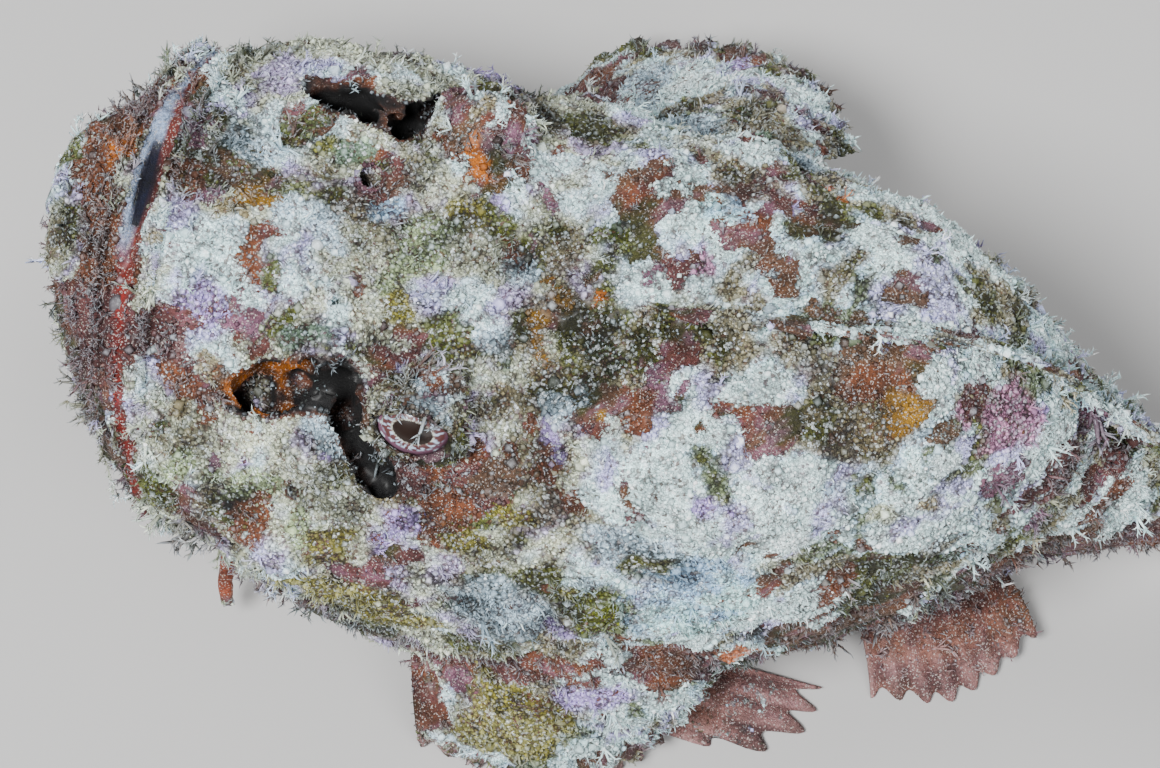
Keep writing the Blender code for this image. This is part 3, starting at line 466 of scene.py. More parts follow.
def tube_arrays(path, radius, sides):
    """Circle carried along a path: point = path + radius (side cos + up sin); its ends close in a point."""
    path = np.asarray(path, float)
    along = normalized(np.gradient(path, axis=0))
    side = normalized(np.cross(along, [1.0, 0.0, 0.3]))
    up = np.cross(side, along)
    turn = np.linspace(0.0, 2.0 * math.pi, sides, endpoint=False)
    circle = side[:, None] * np.cos(turn)[None, :, None] + up[:, None] * np.sin(turn)[None, :, None]
    rings = path[:, None] + circle * np.broadcast_to(radius, len(path))[:, None, None]
    tips = [path[0] - along[0] * radius[0] * 0.5, path[-1] + along[-1] * radius[-1] * 0.5]
    points = np.concatenate([rings.reshape(-1, 3), tips])
    faces = grid_faces(len(path), sides, closed=True)
    faces = halved(faces)
    return points, np.concatenate([faces, *end_caps(sides, len(path), len(points) - 2, len(points) - 1)])


def outward(points, faces):
    """Turns all faces round where they hold a negative volume."""
    corners = points[faces]
    volume = np.einsum("ij,ij->", corners[:, 0], np.cross(corners[:, 1], corners[:, 2]))
    return faces if volume > 0 else faces[:, ::-1]


def tube(name, path, radius, sides=16):
    """Object of a closed tube along a path."""
    points, faces = tube_arrays(path, radius, sides)
    return mesh_object(name, points, outward(points, faces))


# The body's skin


def bare_grid(rows=220, columns=176):
    """Body sections on an even grid, moved along their normals by the sum of rounded bumps."""
    x = np.concatenate([[0.4, 1.0, 1.6, 2.2], np.linspace(3.0, 218.0, rows)]) * MM
    turn = np.linspace(0.0, 2.0 * math.pi, columns, endpoint=False)
    x, turn = np.meshgrid(x, turn, indexing="ij")
    points = body_point(x, turn)
    small = 1e-4
    along = body_point(x + 1e-7, turn) - body_point(x - 1e-7, turn)
    around = body_point(x, turn + small) - body_point(x, turn - small)
    normals = normalized(np.cross(around, along))
    sign = np.sign(np.sum(normals * (points - [0, 0, 0.04]) * [0, 1, 1], axis=-1, keepdims=True) + 1e-12)
    lift = np.zeros(points.shape[:-1])
    for bx, by, bz, radius, height in RELIEF:
        for side in (1.0, -1.0) if by else (1.0,):
            away = np.linalg.norm(points - np.array((bx, side * by, bz)) * MM, axis=-1) / (radius * MM)
            lift += height * MM * np.exp(-away * away)
    return points + normals * sign * lift[..., None]


def bare_body():
    """Closed mesh of the bare body: the grid, with a point at the nose and one at the end."""
    grid = bare_grid()
    rows, columns = grid.shape[:2]
    points = np.concatenate([grid.reshape(-1, 3), [(0, 0, 0.05), grid[-1].mean(axis=0) + (MM, 0, 0)]])
    faces = grid_faces(rows, columns, closed=True)
    faces = halved(faces)
    faces = np.concatenate([faces, *end_caps(columns, rows, rows * columns, rows * columns + 1)])
    return mesh_object("skin", points, outward(points, faces))


def lip_curve(count):
    """Where the mouth's plane meets the bare body, found by halving the distance along each line."""
    angle = np.linspace(-1.72, 1.72, count)
    low, high = np.full(count, 0.5 * MM), np.full(count, 60.0 * MM)
    for _ in range(40):
        x = (low + high) / 2.0
        depth = (body_point(x, angle) - LIP_TIP) @ LIP_INWARD
        low, high = np.where(depth < 0.0, x, low), np.where(depth < 0.0, high, x)
    return body_point((low + high) / 2.0, angle)


def lip_tube(name, side):
    """Lip that swells to its middle, on one side of the mouth's slit."""
    path = lip_curve(61)
    share = np.sin(np.linspace(0.0, math.pi, 61))
    path = path + LIP_INWARD * (side * (1.5 * MM + 1.0 * MM * share))[:, None]
    radius = (0.5 + 0.7 * share**0.5) * MM * (1.0 + 0.15 * np.sin(np.arange(61) * 1.9))
    return tube(name, path, radius)


def cheek_finger(side):
    """Smooth fleshy finger that hangs out from under the cheek."""
    keys = np.array(((46, 30, 24), (45.5, 34.5, 22.5), (46.5, 38, 19), (48, 40.6, 14), (50, 42.4, 8.5))) * MM
    share = np.linspace(0.0, 1.0, 40)
    path = np.stack([monotone_curve(np.linspace(0, 1, 5), keys[:, k], share) for k in range(3)], axis=-1)
    path[:, 1] *= side
    radius = (2.1 - 0.8 * share**3 + 0.25 * np.sin(share * 9.0)) * MM
    return tube(f"finger_{int(side)}", path, radius)


def frame_of(axis):
    """Rows: an axis along the head, one across it, and the axis itself."""
    up = normalized(np.cross(axis, [1.0, 0.0, 0.0]))
    return np.stack([np.cross(up, axis), up, axis])


def lid_folds(side):
    """Rolls of skin round the eye opening: an oval path on the turret, with a thick upper one."""
    mirror = np.array((1.0, side, 1.0))
    centre, axis = EYE_CENTRE * mirror, LID_AXIS * mirror
    fore, across, out = frame_of(axis)
    turn = np.linspace(0.0, 2.0 * math.pi, 73)[:-1]
    rolls = []
    for number, (wide, tall, rise, thick) in enumerate(((6.5, 4.1, 6.2, 0.8), (7.9, 6.0, 4.6, 0.9))):
        oval = fore * np.cos(turn)[:, None] * wide + across * np.sin(turn)[:, None] * tall + out * rise
        path = centre + oval * MM - across * np.sign(across[2]) * EYE_DROP
        radius = thick * MM * (1.0 + 0.22 * np.sin(turn * 7.0 + number) + 0.1 * np.sin(turn * 17.0))
        path = np.concatenate([path, path[:2]])
        rolls.append(tube(f"lid_{number}_{int(side)}", path, np.concatenate([radius, radius[:2]]), 12))
    return rolls


def boolean(target, others, operation):
    """Joins the others to the target, or cuts them from it, and deletes them."""
    group = bpy.data.collections.new("cutters")
    bpy.context.scene.collection.children.link(group)
    for other in others:
        bpy.context.scene.collection.objects.unlink(other)
        group.objects.link(other)
    step = target.modifiers.new("join", "BOOLEAN")
    step.operation, step.operand_type, step.solver = operation, "COLLECTION", "MANIFOLD"
    step.collection = group
    apply_modifiers(target)
    for other in others:
        remove(other)
    bpy.data.collections.remove(group)


def remesh(made, size):
    """Rebuilds a mesh from even squares."""
    step = made.modifiers.new("even", "REMESH")
    step.mode, step.voxel_size = "VOXEL", size
    apply_modifiers(made)


def roughen(made, reach):
    """Pushes a piece's points in and out by noise at two scales, so that what it cuts is ragged."""
    points, triangles = points_of(made.data), triangles_of(made.data)
    push = noise(points, 3.4 * MM, 151.0) + 0.7 * noise(points, 1.5 * MM, 152.0)
    points = points + vertex_normals(points, triangles) * push[:, None] * reach
    made.data.vertices.foreach_set("co", points.astype(np.float32).ravel())
    made.data.update()


def head_cutters(gape):
    """Lens for the mouth, balls for the eyes and pits, windows for the lids, cones for the nostrils."""
    across = np.array((0.0, -1.0, 0.0))
    axes = np.stack([LIP_INWARD, across, LIP_DOWN])
    cutters = [ellipsoid("gape", GAPE_CENTRE, np.array((gape, *GAPE_REACH)), axes, 96, 60)]
    for side in (1.0, -1.0):
        mirror = np.array((1.0, side, 1.0))
        centre, axis = EYE_CENTRE * mirror, LID_AXIS * mirror
        reach = EYE_RADIUS + 0.2 * MM
        name = int(side)
        cutters.append(ellipsoid(f"socket_{name}", centre, np.full(3, reach)))
        low = frame_of(axis)[1]
        low = low * -np.sign(low[2])
        middle = centre + axis * EYE_WINDOW[2] + low * EYE_DROP
        cutters.append(ellipsoid(f"window_{name}", middle, EYE_WINDOW, frame_of(axis)))
        row = pit_path(60)
        for number, sink in enumerate(PIT_SINKS):
            path = (row[:, :3] - row[:, 4:] * (0.0, 0.0, sink)) * mirror * MM
            narrow = 1.0 - 0.45 * abs(sink)
            trench = tube(f"pit_{name}_{number}", path, row[:, 3] * narrow * MM, 40)
            roughen(trench, PIT_RAGGED)
            cutters.append(trench)
        x, y = NOSTRIL
        hole = np.array((x, side * y, float(top_z(x, y)) + 1.0 * MM))
        cutters.append(ellipsoid(f"nostril_{name}", hole, np.array((1.5, 1.5, 4.0)) * MM, None, 24, 16))
    return cutters


def gill_slit(points):
    """Depth of the slit behind the gill cover and of the folds round the upper jaw's plate: each is an
    oval line on the side of the head, and the depth falls off with the distance from it as exp(-d^2)."""
    depth = np.zeros(len(points))
    for centre, half, tilt, deep, wide, rear_only in (
        ((82.0, 34.0), (10.8, 22.2), math.radians(-8.0), 2.2, 0.8, True),
        ((30.2, 36.6), (5.4, 13.0), math.radians(26.0), 1.1, 0.7, False),
    ):
        dx, dz = points[:, 0] / MM - centre[0], points[:, 2] / MM - centre[1]
        a = dx * math.cos(tilt) + dz * math.sin(tilt)
        b = -dx * math.sin(tilt) + dz * math.cos(tilt)
        size = np.sqrt((a / half[0]) ** 2 + (b / half[1]) ** 2)
        line = (size - 1.0) * np.minimum(half[0], np.hypot(a, b))
        fall = np.exp(-((line / wide) ** 2))
        if rear_only:
            fall = fall * smooth_step(-2.0, 4.0, a)
        side = smooth_step(0.55, 0.75, np.abs(points[:, 1]) / np.maximum(section(points[:, 0])[0], 1e-4))
        depth += deep * MM * fall * side
    return depth


def warped(points, reach=4.0, size=9.0):
    """Points pushed about by noise in each direction, so that edges drawn on them turn ragged."""
    broad = [layered_noise(points, size * MM, 101.0 + 9 * k, 3) * reach * MM for k in range(3)]
    fine = [noise(points, 2.2 * MM, 131.0 + 9 * k) * 0.9 * MM for k in range(3)]
    return points + np.stack(broad, axis=-1) + np.stack(fine, axis=-1)


def pit_path(count):
    """Points along the pit and its gully with half widths and half depths, as a smooth row in mm."""
    keys = np.array(PIT)
    at, share = np.linspace(0.0, 1.0, len(keys)), np.linspace(0.0, 1.0, count)
    row = np.stack([monotone_curve(at, keys[:, k], share) for k in range(5)], axis=-1)
    row[:, 3] *= 1.0 + 0.13 * np.sin(share * 43.0) + 0.09 * np.sin(share * 97.0 + 1.0)
    return row


def pit_nearness(points):
    """Below 1 inside the pits, 1 on their walls: the least of the measures of balls along them."""
    mirrored = np.stack([points[:, 0], np.abs(points[:, 1]), points[:, 2]], axis=-1)
    least = np.full(len(points), 9.0)
    near = (points[:, 0] < 0.07) & (points[:, 0] > 0.03) & (points[:, 2] > 0.045)
    for x, y, z, radius, deep in pit_path(25):
        away = (mirrored[near] - np.array((x, y, z)) * MM) / (np.array((radius, radius, deep)) * MM)
        least[near] = np.minimum(least[near], np.linalg.norm(away, axis=1))
    return least


def mouth_nearness(points, gape=1.0):
    """Below 1 inside the mouth's slit, 1 on its walls: the measure of the lens that cuts it."""
    away = points - GAPE_CENTRE
    across, down = GAPE_REACH
    lens = [away @ LIP_INWARD / (gape * MM), away[:, 1] / across, away @ LIP_DOWN / down]
    return np.linalg.norm(np.stack(lens, axis=-1), axis=1)


def lip_band(points):
    """Half width in mm of the bare band along the lips: broad beside the gap, a thin line beyond it."""
    return 0.55 + 1.0 * smooth_step(19.0, 12.0, np.abs(points[:, 1] / MM - 2.0))


def crust_cover(points):
    """How fully crust covers the skin: high on the upper side, low on the lower flank and the jaw,
    broken into ragged plates by noise at four scales."""
    _, top, bottom, _ = section(points[:, 0])
    height = np.clip((points[:, 2] - bottom) / (top - bottom), 0.0, 1.2)
    head = smooth_step(100.0, 85.0, points[:, 0] / MM)
    edge = 0.42 - 0.16 * head + 0.16 * smooth_step(130.0, 165.0, points[:, 0] / MM)
    bias = -0.75 + 1.65 * smooth_step(edge, edge + 0.2, height)
    jaw = smooth_step(-0.5, -2.0, (points - LIP_TIP) @ LIP_INWARD / MM) * (points[:, 0] < 0.04)
    bias = np.where(jaw > 0.5, -0.35, bias)
    outside = np.abs(points[:, 1]) > side_y(points[:, 0], points[:, 2]) + 1.5 * MM
    bias = np.where(outside & (points[:, 0] < 0.143), 0.35, bias)
    plates = layered_noise(points, 8.0 * MM, 201.0, 4)
    return smooth_step(-0.09, 0.09, plates * 1.1 + bias * 0.55)


def lumps(points):
    """From about -1 to 1: the broad lumps and hollows that shape the crust and set its colour, with painted
    shade in the hollows.
    """
    return layered_noise(points, 13.0 * MM, 1.0, 2) + 0.6 * layered_noise(points, 5.0 * MM, 3.0, 2)


def crust_lift(points, cover):
    """Height of the crust: broad lumps, plates with sharp edges, knobs and grain."""
    broad = lumps(points)
    knobs = np.maximum(layered_noise(points, 3.2 * MM, 5.0, 3), -0.15)
    grain = noise(points, 1.5 * MM, 9.0)
    return (broad * 1.45 + (0.6 * cover - 0.35) + knobs * (0.45 + 0.65 * cover) + grain * 0.2) * MM


def bareness(points):
    """1 where the skin is smooth: the snout's patch, the fingers, the hollows and inside the mouth."""
    snout = np.array((27.0, -3.0, 69.0)) * MM
    smooth = 0.5 * np.exp(-((np.linalg.norm(points - snout, axis=1) / (9.0 * MM)) ** 2))
    smooth = np.maximum(smooth, smooth_step(1.3, 0.9, finger_nearness(points)))
    smooth = np.maximum(smooth, 0.5 * smooth_step(1.15, 0.95, pit_nearness(points)))
    return np.maximum(smooth, smooth_step(1.25, 1.05, mouth_nearness(points)))


def unwrap_of(points):
    """Length along the body against the angle round its section, both from 0 to 1."""
    middle = section(points[:, 0])[3]
    angle = np.arctan2(points[:, 1], points[:, 2] - middle)
    round_body = 0.02 + 0.62 * (angle / (2 * math.pi) + 0.5)
    return np.stack([0.02 + 0.96 * points[:, 0] / UNWRAPPED_LENGTH, round_body], axis=-1)


def build_skin(settings):
    """One mesh over the flesh: the body with its growths, the openings cut, lifted by the crust."""
    skin = bare_body()
    growths = [lip_tube("jaw_lip", -1), lip_tube("upper_lip", 1), cheek_finger(1.0), cheek_finger(-1.0)]
    for side in (1.0, -1.0):
        mirror = np.array((1.0, side, 1.0))
        size = np.array((0.97, 0.99, 0.97)) * LID_RADIUS
        growths.append(ellipsoid(f"turret_{int(side)}", EYE_CENTRE * mirror, size))
        growths += lid_folds(side)
        x, y = NOSTRIL
        rim = np.array((x, side * y, float(top_z(x, y)) + 0.4 * MM))
        growths.append(ellipsoid(f"rim_{int(side)}", rim, np.array((3.0, 3.0, 2.6)) * MM, None, 32, 20))
    boolean(skin, growths, "UNION")
    boolean(skin, head_cutters(settings.gape), "DIFFERENCE")
    remesh(skin, settings.skin_grain)
    points = points_of(skin.data)
    triangles = triangles_of(skin.data)
    straight = points.copy()
    smooth = bareness(points)
    normals = vertex_normals(points, triangles)
    cover = crust_cover(points)
    lift = crust_lift(points, cover) * (1.0 - 0.93 * smooth) - settings.coat_depth - gill_slit(points)
    near_eye = np.linalg.norm(np.abs(points * [0, 1, 0]) + points * [1, 0, 1] - EYE_CENTRE, axis=1)
    lift *= smooth_step(EYE_RADIUS + 0.3 * MM, EYE_RADIUS + 2.2 * MM, near_eye)
    points = points + normals * lift[:, None]
    points[:, 2] = np.maximum(points[:, 2], 0.0)
    skin.data.vertices.foreach_set("co", bend(points).astype(np.float32).ravel())
    store(skin.data, "straight", straight)
    paint_layers(skin.data, *marking_layers(straight))
    skin.data.update()
    skin.data.shade_smooth()
    return skin


# Markings

PALETTE = {
    "white": (216, 234, 246), "cream": (198, 202, 186), "lilac": (170, 156, 200),
    "bluewhite": (196, 222, 248), "tan": (150, 142, 120), "rust": (106, 64, 44),
    "maroon": (88, 54, 54), "plum": (120, 86, 104), "orange": (170, 100, 46), "ochre": (138, 104, 40),
    "olive": (88, 92, 54), "darkolive": (50, 58, 28), "yellowolive": (128, 124, 84),
    "yellowgreen": (116, 116, 70), "brown": (92, 70, 54), "greygreen": (114, 130, 116),
    "black": (8, 9, 14), "pink": (200, 160, 160), "peach": (206, 128, 92), "rose": (164, 130, 150),
    "sage": (172, 184, 156),
}

# Patches of crust in mm on the straight fish: x, y, z, radius, colour
# The black patches are painted shadow in recesses, such as behind the cheek and in the groove under the eye.
PATCHES = (
    (60.5, -31.0, 66.0, 3.2, "rust"), (65.0, -31.4, 66.0, 3.2, "maroon"), (56.5, -30.4, 66.5, 2.4, "brown"),
    (62.0, -34.0, 62.0, 3.0, "rust"), (67.8, -29.6, 68.0, 2.4, "brown"), (13.0, 2.0, 62.0, 1.6, "cream"),
    (60.5, 31.0, 66.0, 3.2, "rust"), (65.0, 31.4, 66.0, 3.2, "maroon"), (60.5, -21.0, 79.0, 3.6, "white"),
    (8, -10, 64, 6.6, "rust"), (12, -23, 58, 6.6, "maroon"), (6, 9, 62, 4.7, "rust"),
    (17, 25, 55, 2.8, "maroon"), (2, 8, 56, 2.8, "olive"), (8, -1, 65, 3.4, "cream"),
    (7, -5, 63, 2.2, "olive"), (10, 16, 63, 2.3, "olive"), (10, -18, 59, 2.5, "plum"),
    (11, -14, 65, 2.2, "rust"), (18, 3, 67, 3.4, "rust"), (18, 12, 67, 2.8, "plum"),
    (22, 20, 64, 2.5, "white"), (25, 14, 67, 3.4, "white"), (30, 14, 67, 2.7, "white"),
    (33, 13, 68, 1.4, "white"), (25, 20, 64, 1.4, "lilac"), (20, 12, 67, 2.3, "cream"),
    (24, 7, 67, 3.1, "brown"), (22, 1, 67, 2.5, "plum"), (26, -1, 69, 2.5, "tan"),
    (29, 3, 69, 3.4, "ochre"), (33, 3, 70, 1.9, "ochre"), (31, 0, 70, 1.2, "yellowolive"),
    (24, -7, 67, 3.1, "white"), (22, -11, 67, 2.5, "white"), (30, -9, 68, 3.4, "white"),
    (27, -14, 67, 3.8, "lilac"), (23, -17, 66, 2.8, "lilac"), (23, -20, 64, 2.2, "lilac"),
    (33, -16, 67, 2.3, "plum"), (19, -15, 66, 1.4, "bluewhite"), (17, -9, 68, 2.3, "tan"),
    (37, 2, 70, 3.1, "white"), (42, 2, 70, 3.4, "white"), (34, 19, 66, 3.1, "olive"),
    (38, 15, 69, 2, "yellowgreen"), (41, 15, 70, 2.5, "greygreen"), (45, 13, 72, 2, "olive"),
    (39, 28, 63, 2.2, "rust"), (43, 28, 60, 1.6, "rust"), (46, 26, 67, 4.1, "cream"),
    (53, 31, 65, 3.4, "cream"), (55, 21, 76, 2.5, "rust"), (58, 22, 78, 2.5, "brown"),
    (61, 18, 77, 2.3, "orange"), (67, 22, 77, 2.2, "plum"), (61, 25, 79, 1.9, "tan"),
    (72, 25, 71, 1.9, "plum"), (66, 45, 50, 2.3, "rose"), (53, 13, 72, 3.4, "cream"),
    (59, 14, 73, 2.8, "cream"), (66, 14, 74, 2.2, "lilac"), (49, 7, 71, 1.7, "bluewhite"),
    (55, 5, 71, 3.8, "sage"), (61, 9, 73, 3.4, "yellowolive"), (67, 10, 74, 2.8, "olive"),
    (72, 8, 74, 1.9, "olive"), (59, 3, 70, 3.8, "sage"), (66, 1, 72, 3.9, "cream"),
    (72, 2, 74, 3.1, "white"), (54, -1, 70, 3.8, "sage"), (48, 0, 70, 2.8, "cream"),
    (47, -5, 71, 1.9, "rust"), (56, -7, 71, 2.3, "yellowolive"), (65, -5, 73, 3.4, "white"),
    (63, -11, 73, 3.8, "olive"), (69, -9, 74, 2.8, "white"), (72, -11, 74, 2.2, "greygreen"),
    (77, -6, 76, 1.9, "ochre"), (79, -3, 77, 2.2, "ochre"), (77, 1, 76, 1.6, "ochre"),
    (77, -10, 75, 1.9, "ochre"), (36, -7, 69, 2.2, "olive"), (32, -6, 69, 2, "rust"),
    (36, -16, 68, 2.7, "olive"), (39, -13, 70, 1.9, "olive"), (42, -11, 70, 1.9, "cream"),
    (45, -12, 72, 0.8, "orange"), (48, -12, 72, 1.6, "cream"), (40, -18, 69, 2.5, "greygreen"),
    (44, -17, 71, 2.7, "greygreen"), (50, -18, 72, 1.9, "olive"), (52, -14, 72, 2.3, "cream"),
    (56, -13, 72, 2.5, "cream"), (55, -18, 73, 1.9, "lilac"), (60, -19, 77, 2.5, "rust"),
    (56, -22, 78, 2, "tan"), (65, -20, 77, 1.9, "brown"), (61, -23, 79, 1.7, "plum"),
    (70, -18, 74, 2.2, "tan"), (61, -25, 79, 2, "white"), (65, -25, 79, 1.4, "white"),
    (59, -25, 79, 1.4, "white"), (68, -22, 76, 1.6, "plum"), (73, -20, 76, 2, "rust"),
    (55, -26, 76, 1.2, "plum"), (69, -26, 74, 1.7, "maroon"), (37, -34, 58, 4.7, "cream"),
    (44, -32, 63, 4.1, "cream"), (51, -31, 65, 3.1, "white"), (49, -37, 59, 4.7, "cream"),
    (41, -39, 54, 3.9, "sage"), (31, -38, 52, 2.5, "sage"), (34, -33, 57, 1.4, "lilac"),
    (37, -36, 56, 1.2, "plum"), (40, -36, 57, 1.2, "lilac"), (51, -33, 63, 1.1, "lilac"),
    (28, -38, 47, 2.2, "greygreen"), (29, -37, 30, 1.9, "olive"), (30, -28, 61, 2.3, "plum"),
    (26, -23, 63, 2.3, "maroon"), (22, -24, 61, 0.8, "white"), (29, -24, 63, 1.4, "maroon"),
    (26, -30, 58, 1.9, "tan"), (37, -27, 63, 1.9, "brown"), (32, -24, 63, 1.9, "tan"),
    (25, -33, 53, 1.4, "darkolive"), (58, -32, 64, 1.7, "olive"), (60, -33, 64, 1.2, "yellowolive"),
    (64, -34, 63, 1.1, "white"), (66, -34, 63, 0.9, "white"), (59, -33, 72, 1.2, "brown"),
    (67, -33, 64, 1.6, "rust"), (70, -35, 63, 1.9, "rust"), (70, -32, 66, 1.7, "brown"),
    (73, -29, 68, 2.2, "rust"), (75, -27, 71, 1.6, "rust"), (64, -32, 65, 0.9, "black"),
    (61, -36, 60, 2.8, "tan"), (56, -39, 57, 3.8, "cream"), (64, -38, 58, 3.6, "lilac"),
    (68, -38, 59, 2.8, "lilac"), (62, -41, 54, 2.5, "lilac"), (72, -40, 57, 2, "rust"),
    (74, -36, 63, 3.1, "olive"), (77, -33, 66, 3.1, "olive"), (80, -35, 65, 2.5, "yellowolive"),
    (75, -39, 59, 2.7, "yellowolive"), (43, -42, 50, 3.1, "rust"), (40, -41, 51, 1.2, "black"),
    (48, -39, 55, 1.2, "black"), (52, -43, 52, 3.1, "sage"), (56, -44, 49, 3.8, "yellowolive"),
    (60, -43, 51, 2.3, "cream"), (85, -31, 71, 2.3, "rust"), (81, -24, 74, 2.2, "lilac"),
    (82, -19, 76, 3.1, "white"), (77, -23, 72, 1.6, "rust"), (83, 3, 79, 2, "brown"),
    (84, 10, 78, 2.2, "olive"), (86, 12, 79, 1.9, "darkolive"), (87, 9, 80, 1.7, "olive"),
    (84, -1, 79, 1.1, "orange"), (76, 15, 74, 2.2, "plum"), (76, 24, 71, 1.9, "rust"),
    (79, 31, 68, 2.5, "darkolive"), (83, 36, 65, 1.9, "olive"), (98, 54, 37, 1.2, "rust"),
    (90, 24, 80, 1.4, "brown"), (84, -9, 79, 2.2, "darkolive"), (86, -12, 80, 1.9, "darkolive"),
    (84, -17, 81, 1.4, "yellowgreen"), (83, -16, 79, 0.8, "orange"), (87, -21, 80, 1.1, "ochre"),
    (92, -14, 83, 2.2, "plum"), (95, -16, 84, 2.2, "rose"), (98, -16, 85, 1.9, "plum"),
    (95, -18, 84, 1.4, "maroon"), (92, 4, 83, 2, "plum"), (95, 6, 83, 1.9, "maroon"),
    (97, 4, 85, 1.7, "plum"), (98, 8, 85, 1.6, "rose"), (106, 48, 52, 2.3, "darkolive"),
    (111, 48, 55, 2, "darkolive"), (112, 42, 62, 1.6, "greygreen"), (108, 24, 86, 1.9, "lilac"),
    (111, 18, 89, 1.4, "lilac"), (101, 16, 86, 3.4, "bluewhite"), (118, 26, 84, 1.1, "peach"),
    (120, 22, 87, 1.4, "orange"), (122, 18, 90, 1.2, "rust"), (128, 12, 95, 2, "brown"),
    (133, 9, 96, 1.9, "darkolive"), (115, -1, 94, 2, "brown"), (116, -5, 100, 1.7, "brown"),
    (120, -7, 95, 2.2, "brown"), (125, -8, 96, 2.3, "tan"), (122, -11, 94, 2.5, "brown"),
    (126, -14, 94, 2.3, "ochre"), (125, -18, 91, 2.5, "brown"), (122, -20, 89, 2.2, "brown"),
    (116, -16, 91, 1.7, "tan"), (129, -12, 94, 1.7, "white"), (134, -13, 94, 1.4, "white"),
    (133, -7, 107, 2.2, "white"), (142, -3, 94, 1.7, "white"), (139, -12, 92, 2.2, "rose"),
    (147, -11, 88, 2.2, "rose"), (155, -8, 84, 1.9, "lilac"), (166, -9, 72, 1.9, "bluewhite"),
    (174, -8, 65, 1.4, "lilac"), (135, -17, 90, 2.5, "white"), (140, -19, 87, 2.8, "white"),
    (146, -19, 83, 1.1, "black"), (148, -19, 80, 1.1, "rust"), (146, -4, 92, 2.2, "tan"),
    (161, -4, 80, 2.2, "tan"), (175, -5, 66, 1.9, "maroon"), (182, -8, 55, 2, "maroon"),
    (185, -10, 46, 1.4, "darkolive"), (170, -16, 55, 1.9, "plum"), (188, -11, 21, 2.2, "plum"),
    (186, -12, 35, 1.7, "maroon"), (139, -24, 81, 2.3, "tan"), (146, -24, 75, 1.9, "olive"),
    (132, -27, 79, 2.2, "cream"), (113, -28, 83, 1.1, "rust"), (130, -30, 74, 1.6, "rust"),
    (125, -31, 75, 1.4, "rust"), (136, -31, 70, 2, "brown"), (143, -29, 67, 2.2, "darkolive"),
    (151, -28, 56, 1.9, "darkolive"), (143, -31, 59, 1.7, "darkolive"), (113, -33, 77, 1.1, "rust"),
    (113, -30, 81, 0.8, "rust"), (119, -32, 76, 2.7, "white"), (118, -35, 72, 2.2, "cream"),
    (107, -32, 80, 1.4, "lilac"), (103, -30, 80, 1.7, "lilac"), (106, -37, 69, 1.7, "lilac"),
    (99, -35, 71, 4.4, "white"), (93, -36, 68, 3.8, "white"), (113, -39, 62, 2.3, "bluewhite"),
    (108, -43, 53, 1.4, "lilac"), (94, -42, 58, 2.3, "yellowolive"), (98, -44, 53, 2, "olive"),
    (90, -42, 59, 1.4, "rust"), (86, -44, 54, 0.9, "black"), (84, -46, 49, 3.1, "white"),
    (78, -45, 50, 2.2, "cream"), (60, -47, 42, 6.9, "yellowolive"), (71, -49, 39, 6.2, "yellowolive"),
    (84, -46, 49, 7.2, "white"), (94, -45, 48, 2.7, "lilac"), (98, -43, 56, 5.3, "olive"),
    (106, -50, 30, 4.7, "lilac"), (94, -53, 17, 8.8, "yellowolive"), (86, -47, 15, 2.2, "plum"),
    (109, -40, 62, 8.4, "bluewhite"), (123, -40, 41, 3.5, "peach"), (120, -39, 50, 3.4, "black"),
    (100, 60, 33, 9.4, "white"), (106, 47, 58, 5.3, "olive"), (116, 67, 41, 4.1, "lilac"),
    (66, 44, 46, 6, "lilac"), (74, 46, 36, 7, "yellowolive"), (98, 44, 58, 9, "white"),
    (40, 40, 50, 11, "cream"), (150, 24, 68, 7, "lilac"), (118, 36, 72, 7, "white"),
    (28, -39, 44, 4.7, "olive"),
    (69, -30, 67, 4.4, "rust"), (74, -32, 66, 4.1, "maroon"), (71, -36, 62, 3.8, "rust"),
    (76, -30, 68, 3.1, "brown"), (65, -33, 65, 2.7, "maroon"), (81, -28, 72, 2.3, "rust"),
    (35, -26, 63, 2.8, "brown"), (22, -22, 62, 4.1, "maroon"), (26, -26, 60, 2.8, "rust"),
    (32, -30, 59, 2.5, "rust"), (6, -2, 63, 5, "rust"), (8, -12, 62, 5, "rust"),
    (12, -22, 61, 4.7, "maroon"), (8, 5, 64, 2.5, "orange"), (3, 3, 59, 3.4, "rust"),
    (8, -18, 57, 3.4, "maroon"), (17, -24, 54, 3.1, "rust"), (150, -11, 87, 5.6, "rose"),
    (165, -12, 71, 5.6, "maroon"), (183, -10, 51, 5.3, "rust"), (151, -18, 79, 3.8, "plum"),
    (171, -3, 71, 3.4, "plum"), (166, -18, 60, 3.8, "rose"), (141, -10, 92, 2.8, "maroon"),
    (196, -9, 32, 4.1, "maroon"), (137, -17, 90, 2.5, "brown"), (123, -6, 96, 5.3, "brown"),
    (126, -13, 94, 5.3, "rust"), (125, -17, 91, 4.1, "tan"), (130, -15, 93, 3.1, "ochre"),
    (141, -31, 64, 3.8, "olive"), (148, -28, 63, 2.8, "darkolive"), (131, -34, 63, 4.1, "rust"),
    (167, -20, 45, 3.4, "rust"), (160, -24, 45, 3.1, "maroon"), (181, -4, 60, 3.4, "maroon"),
    (94, -16, 84, 3.4, "plum"), (93, -20, 82, 2.5, "rust"),
)


def colour_of(name):
    """Linear light of a palette colour."""
    value = np.array(PALETTE[name], float) / 255.0
    return np.where(value <= 0.04045, value / 12.92, ((value + 0.055) / 1.055) ** 2.4)


def mix(a, b, share):
    """Colours from a to b by a share for each point."""
    return a + (b - a) * share[:, None]
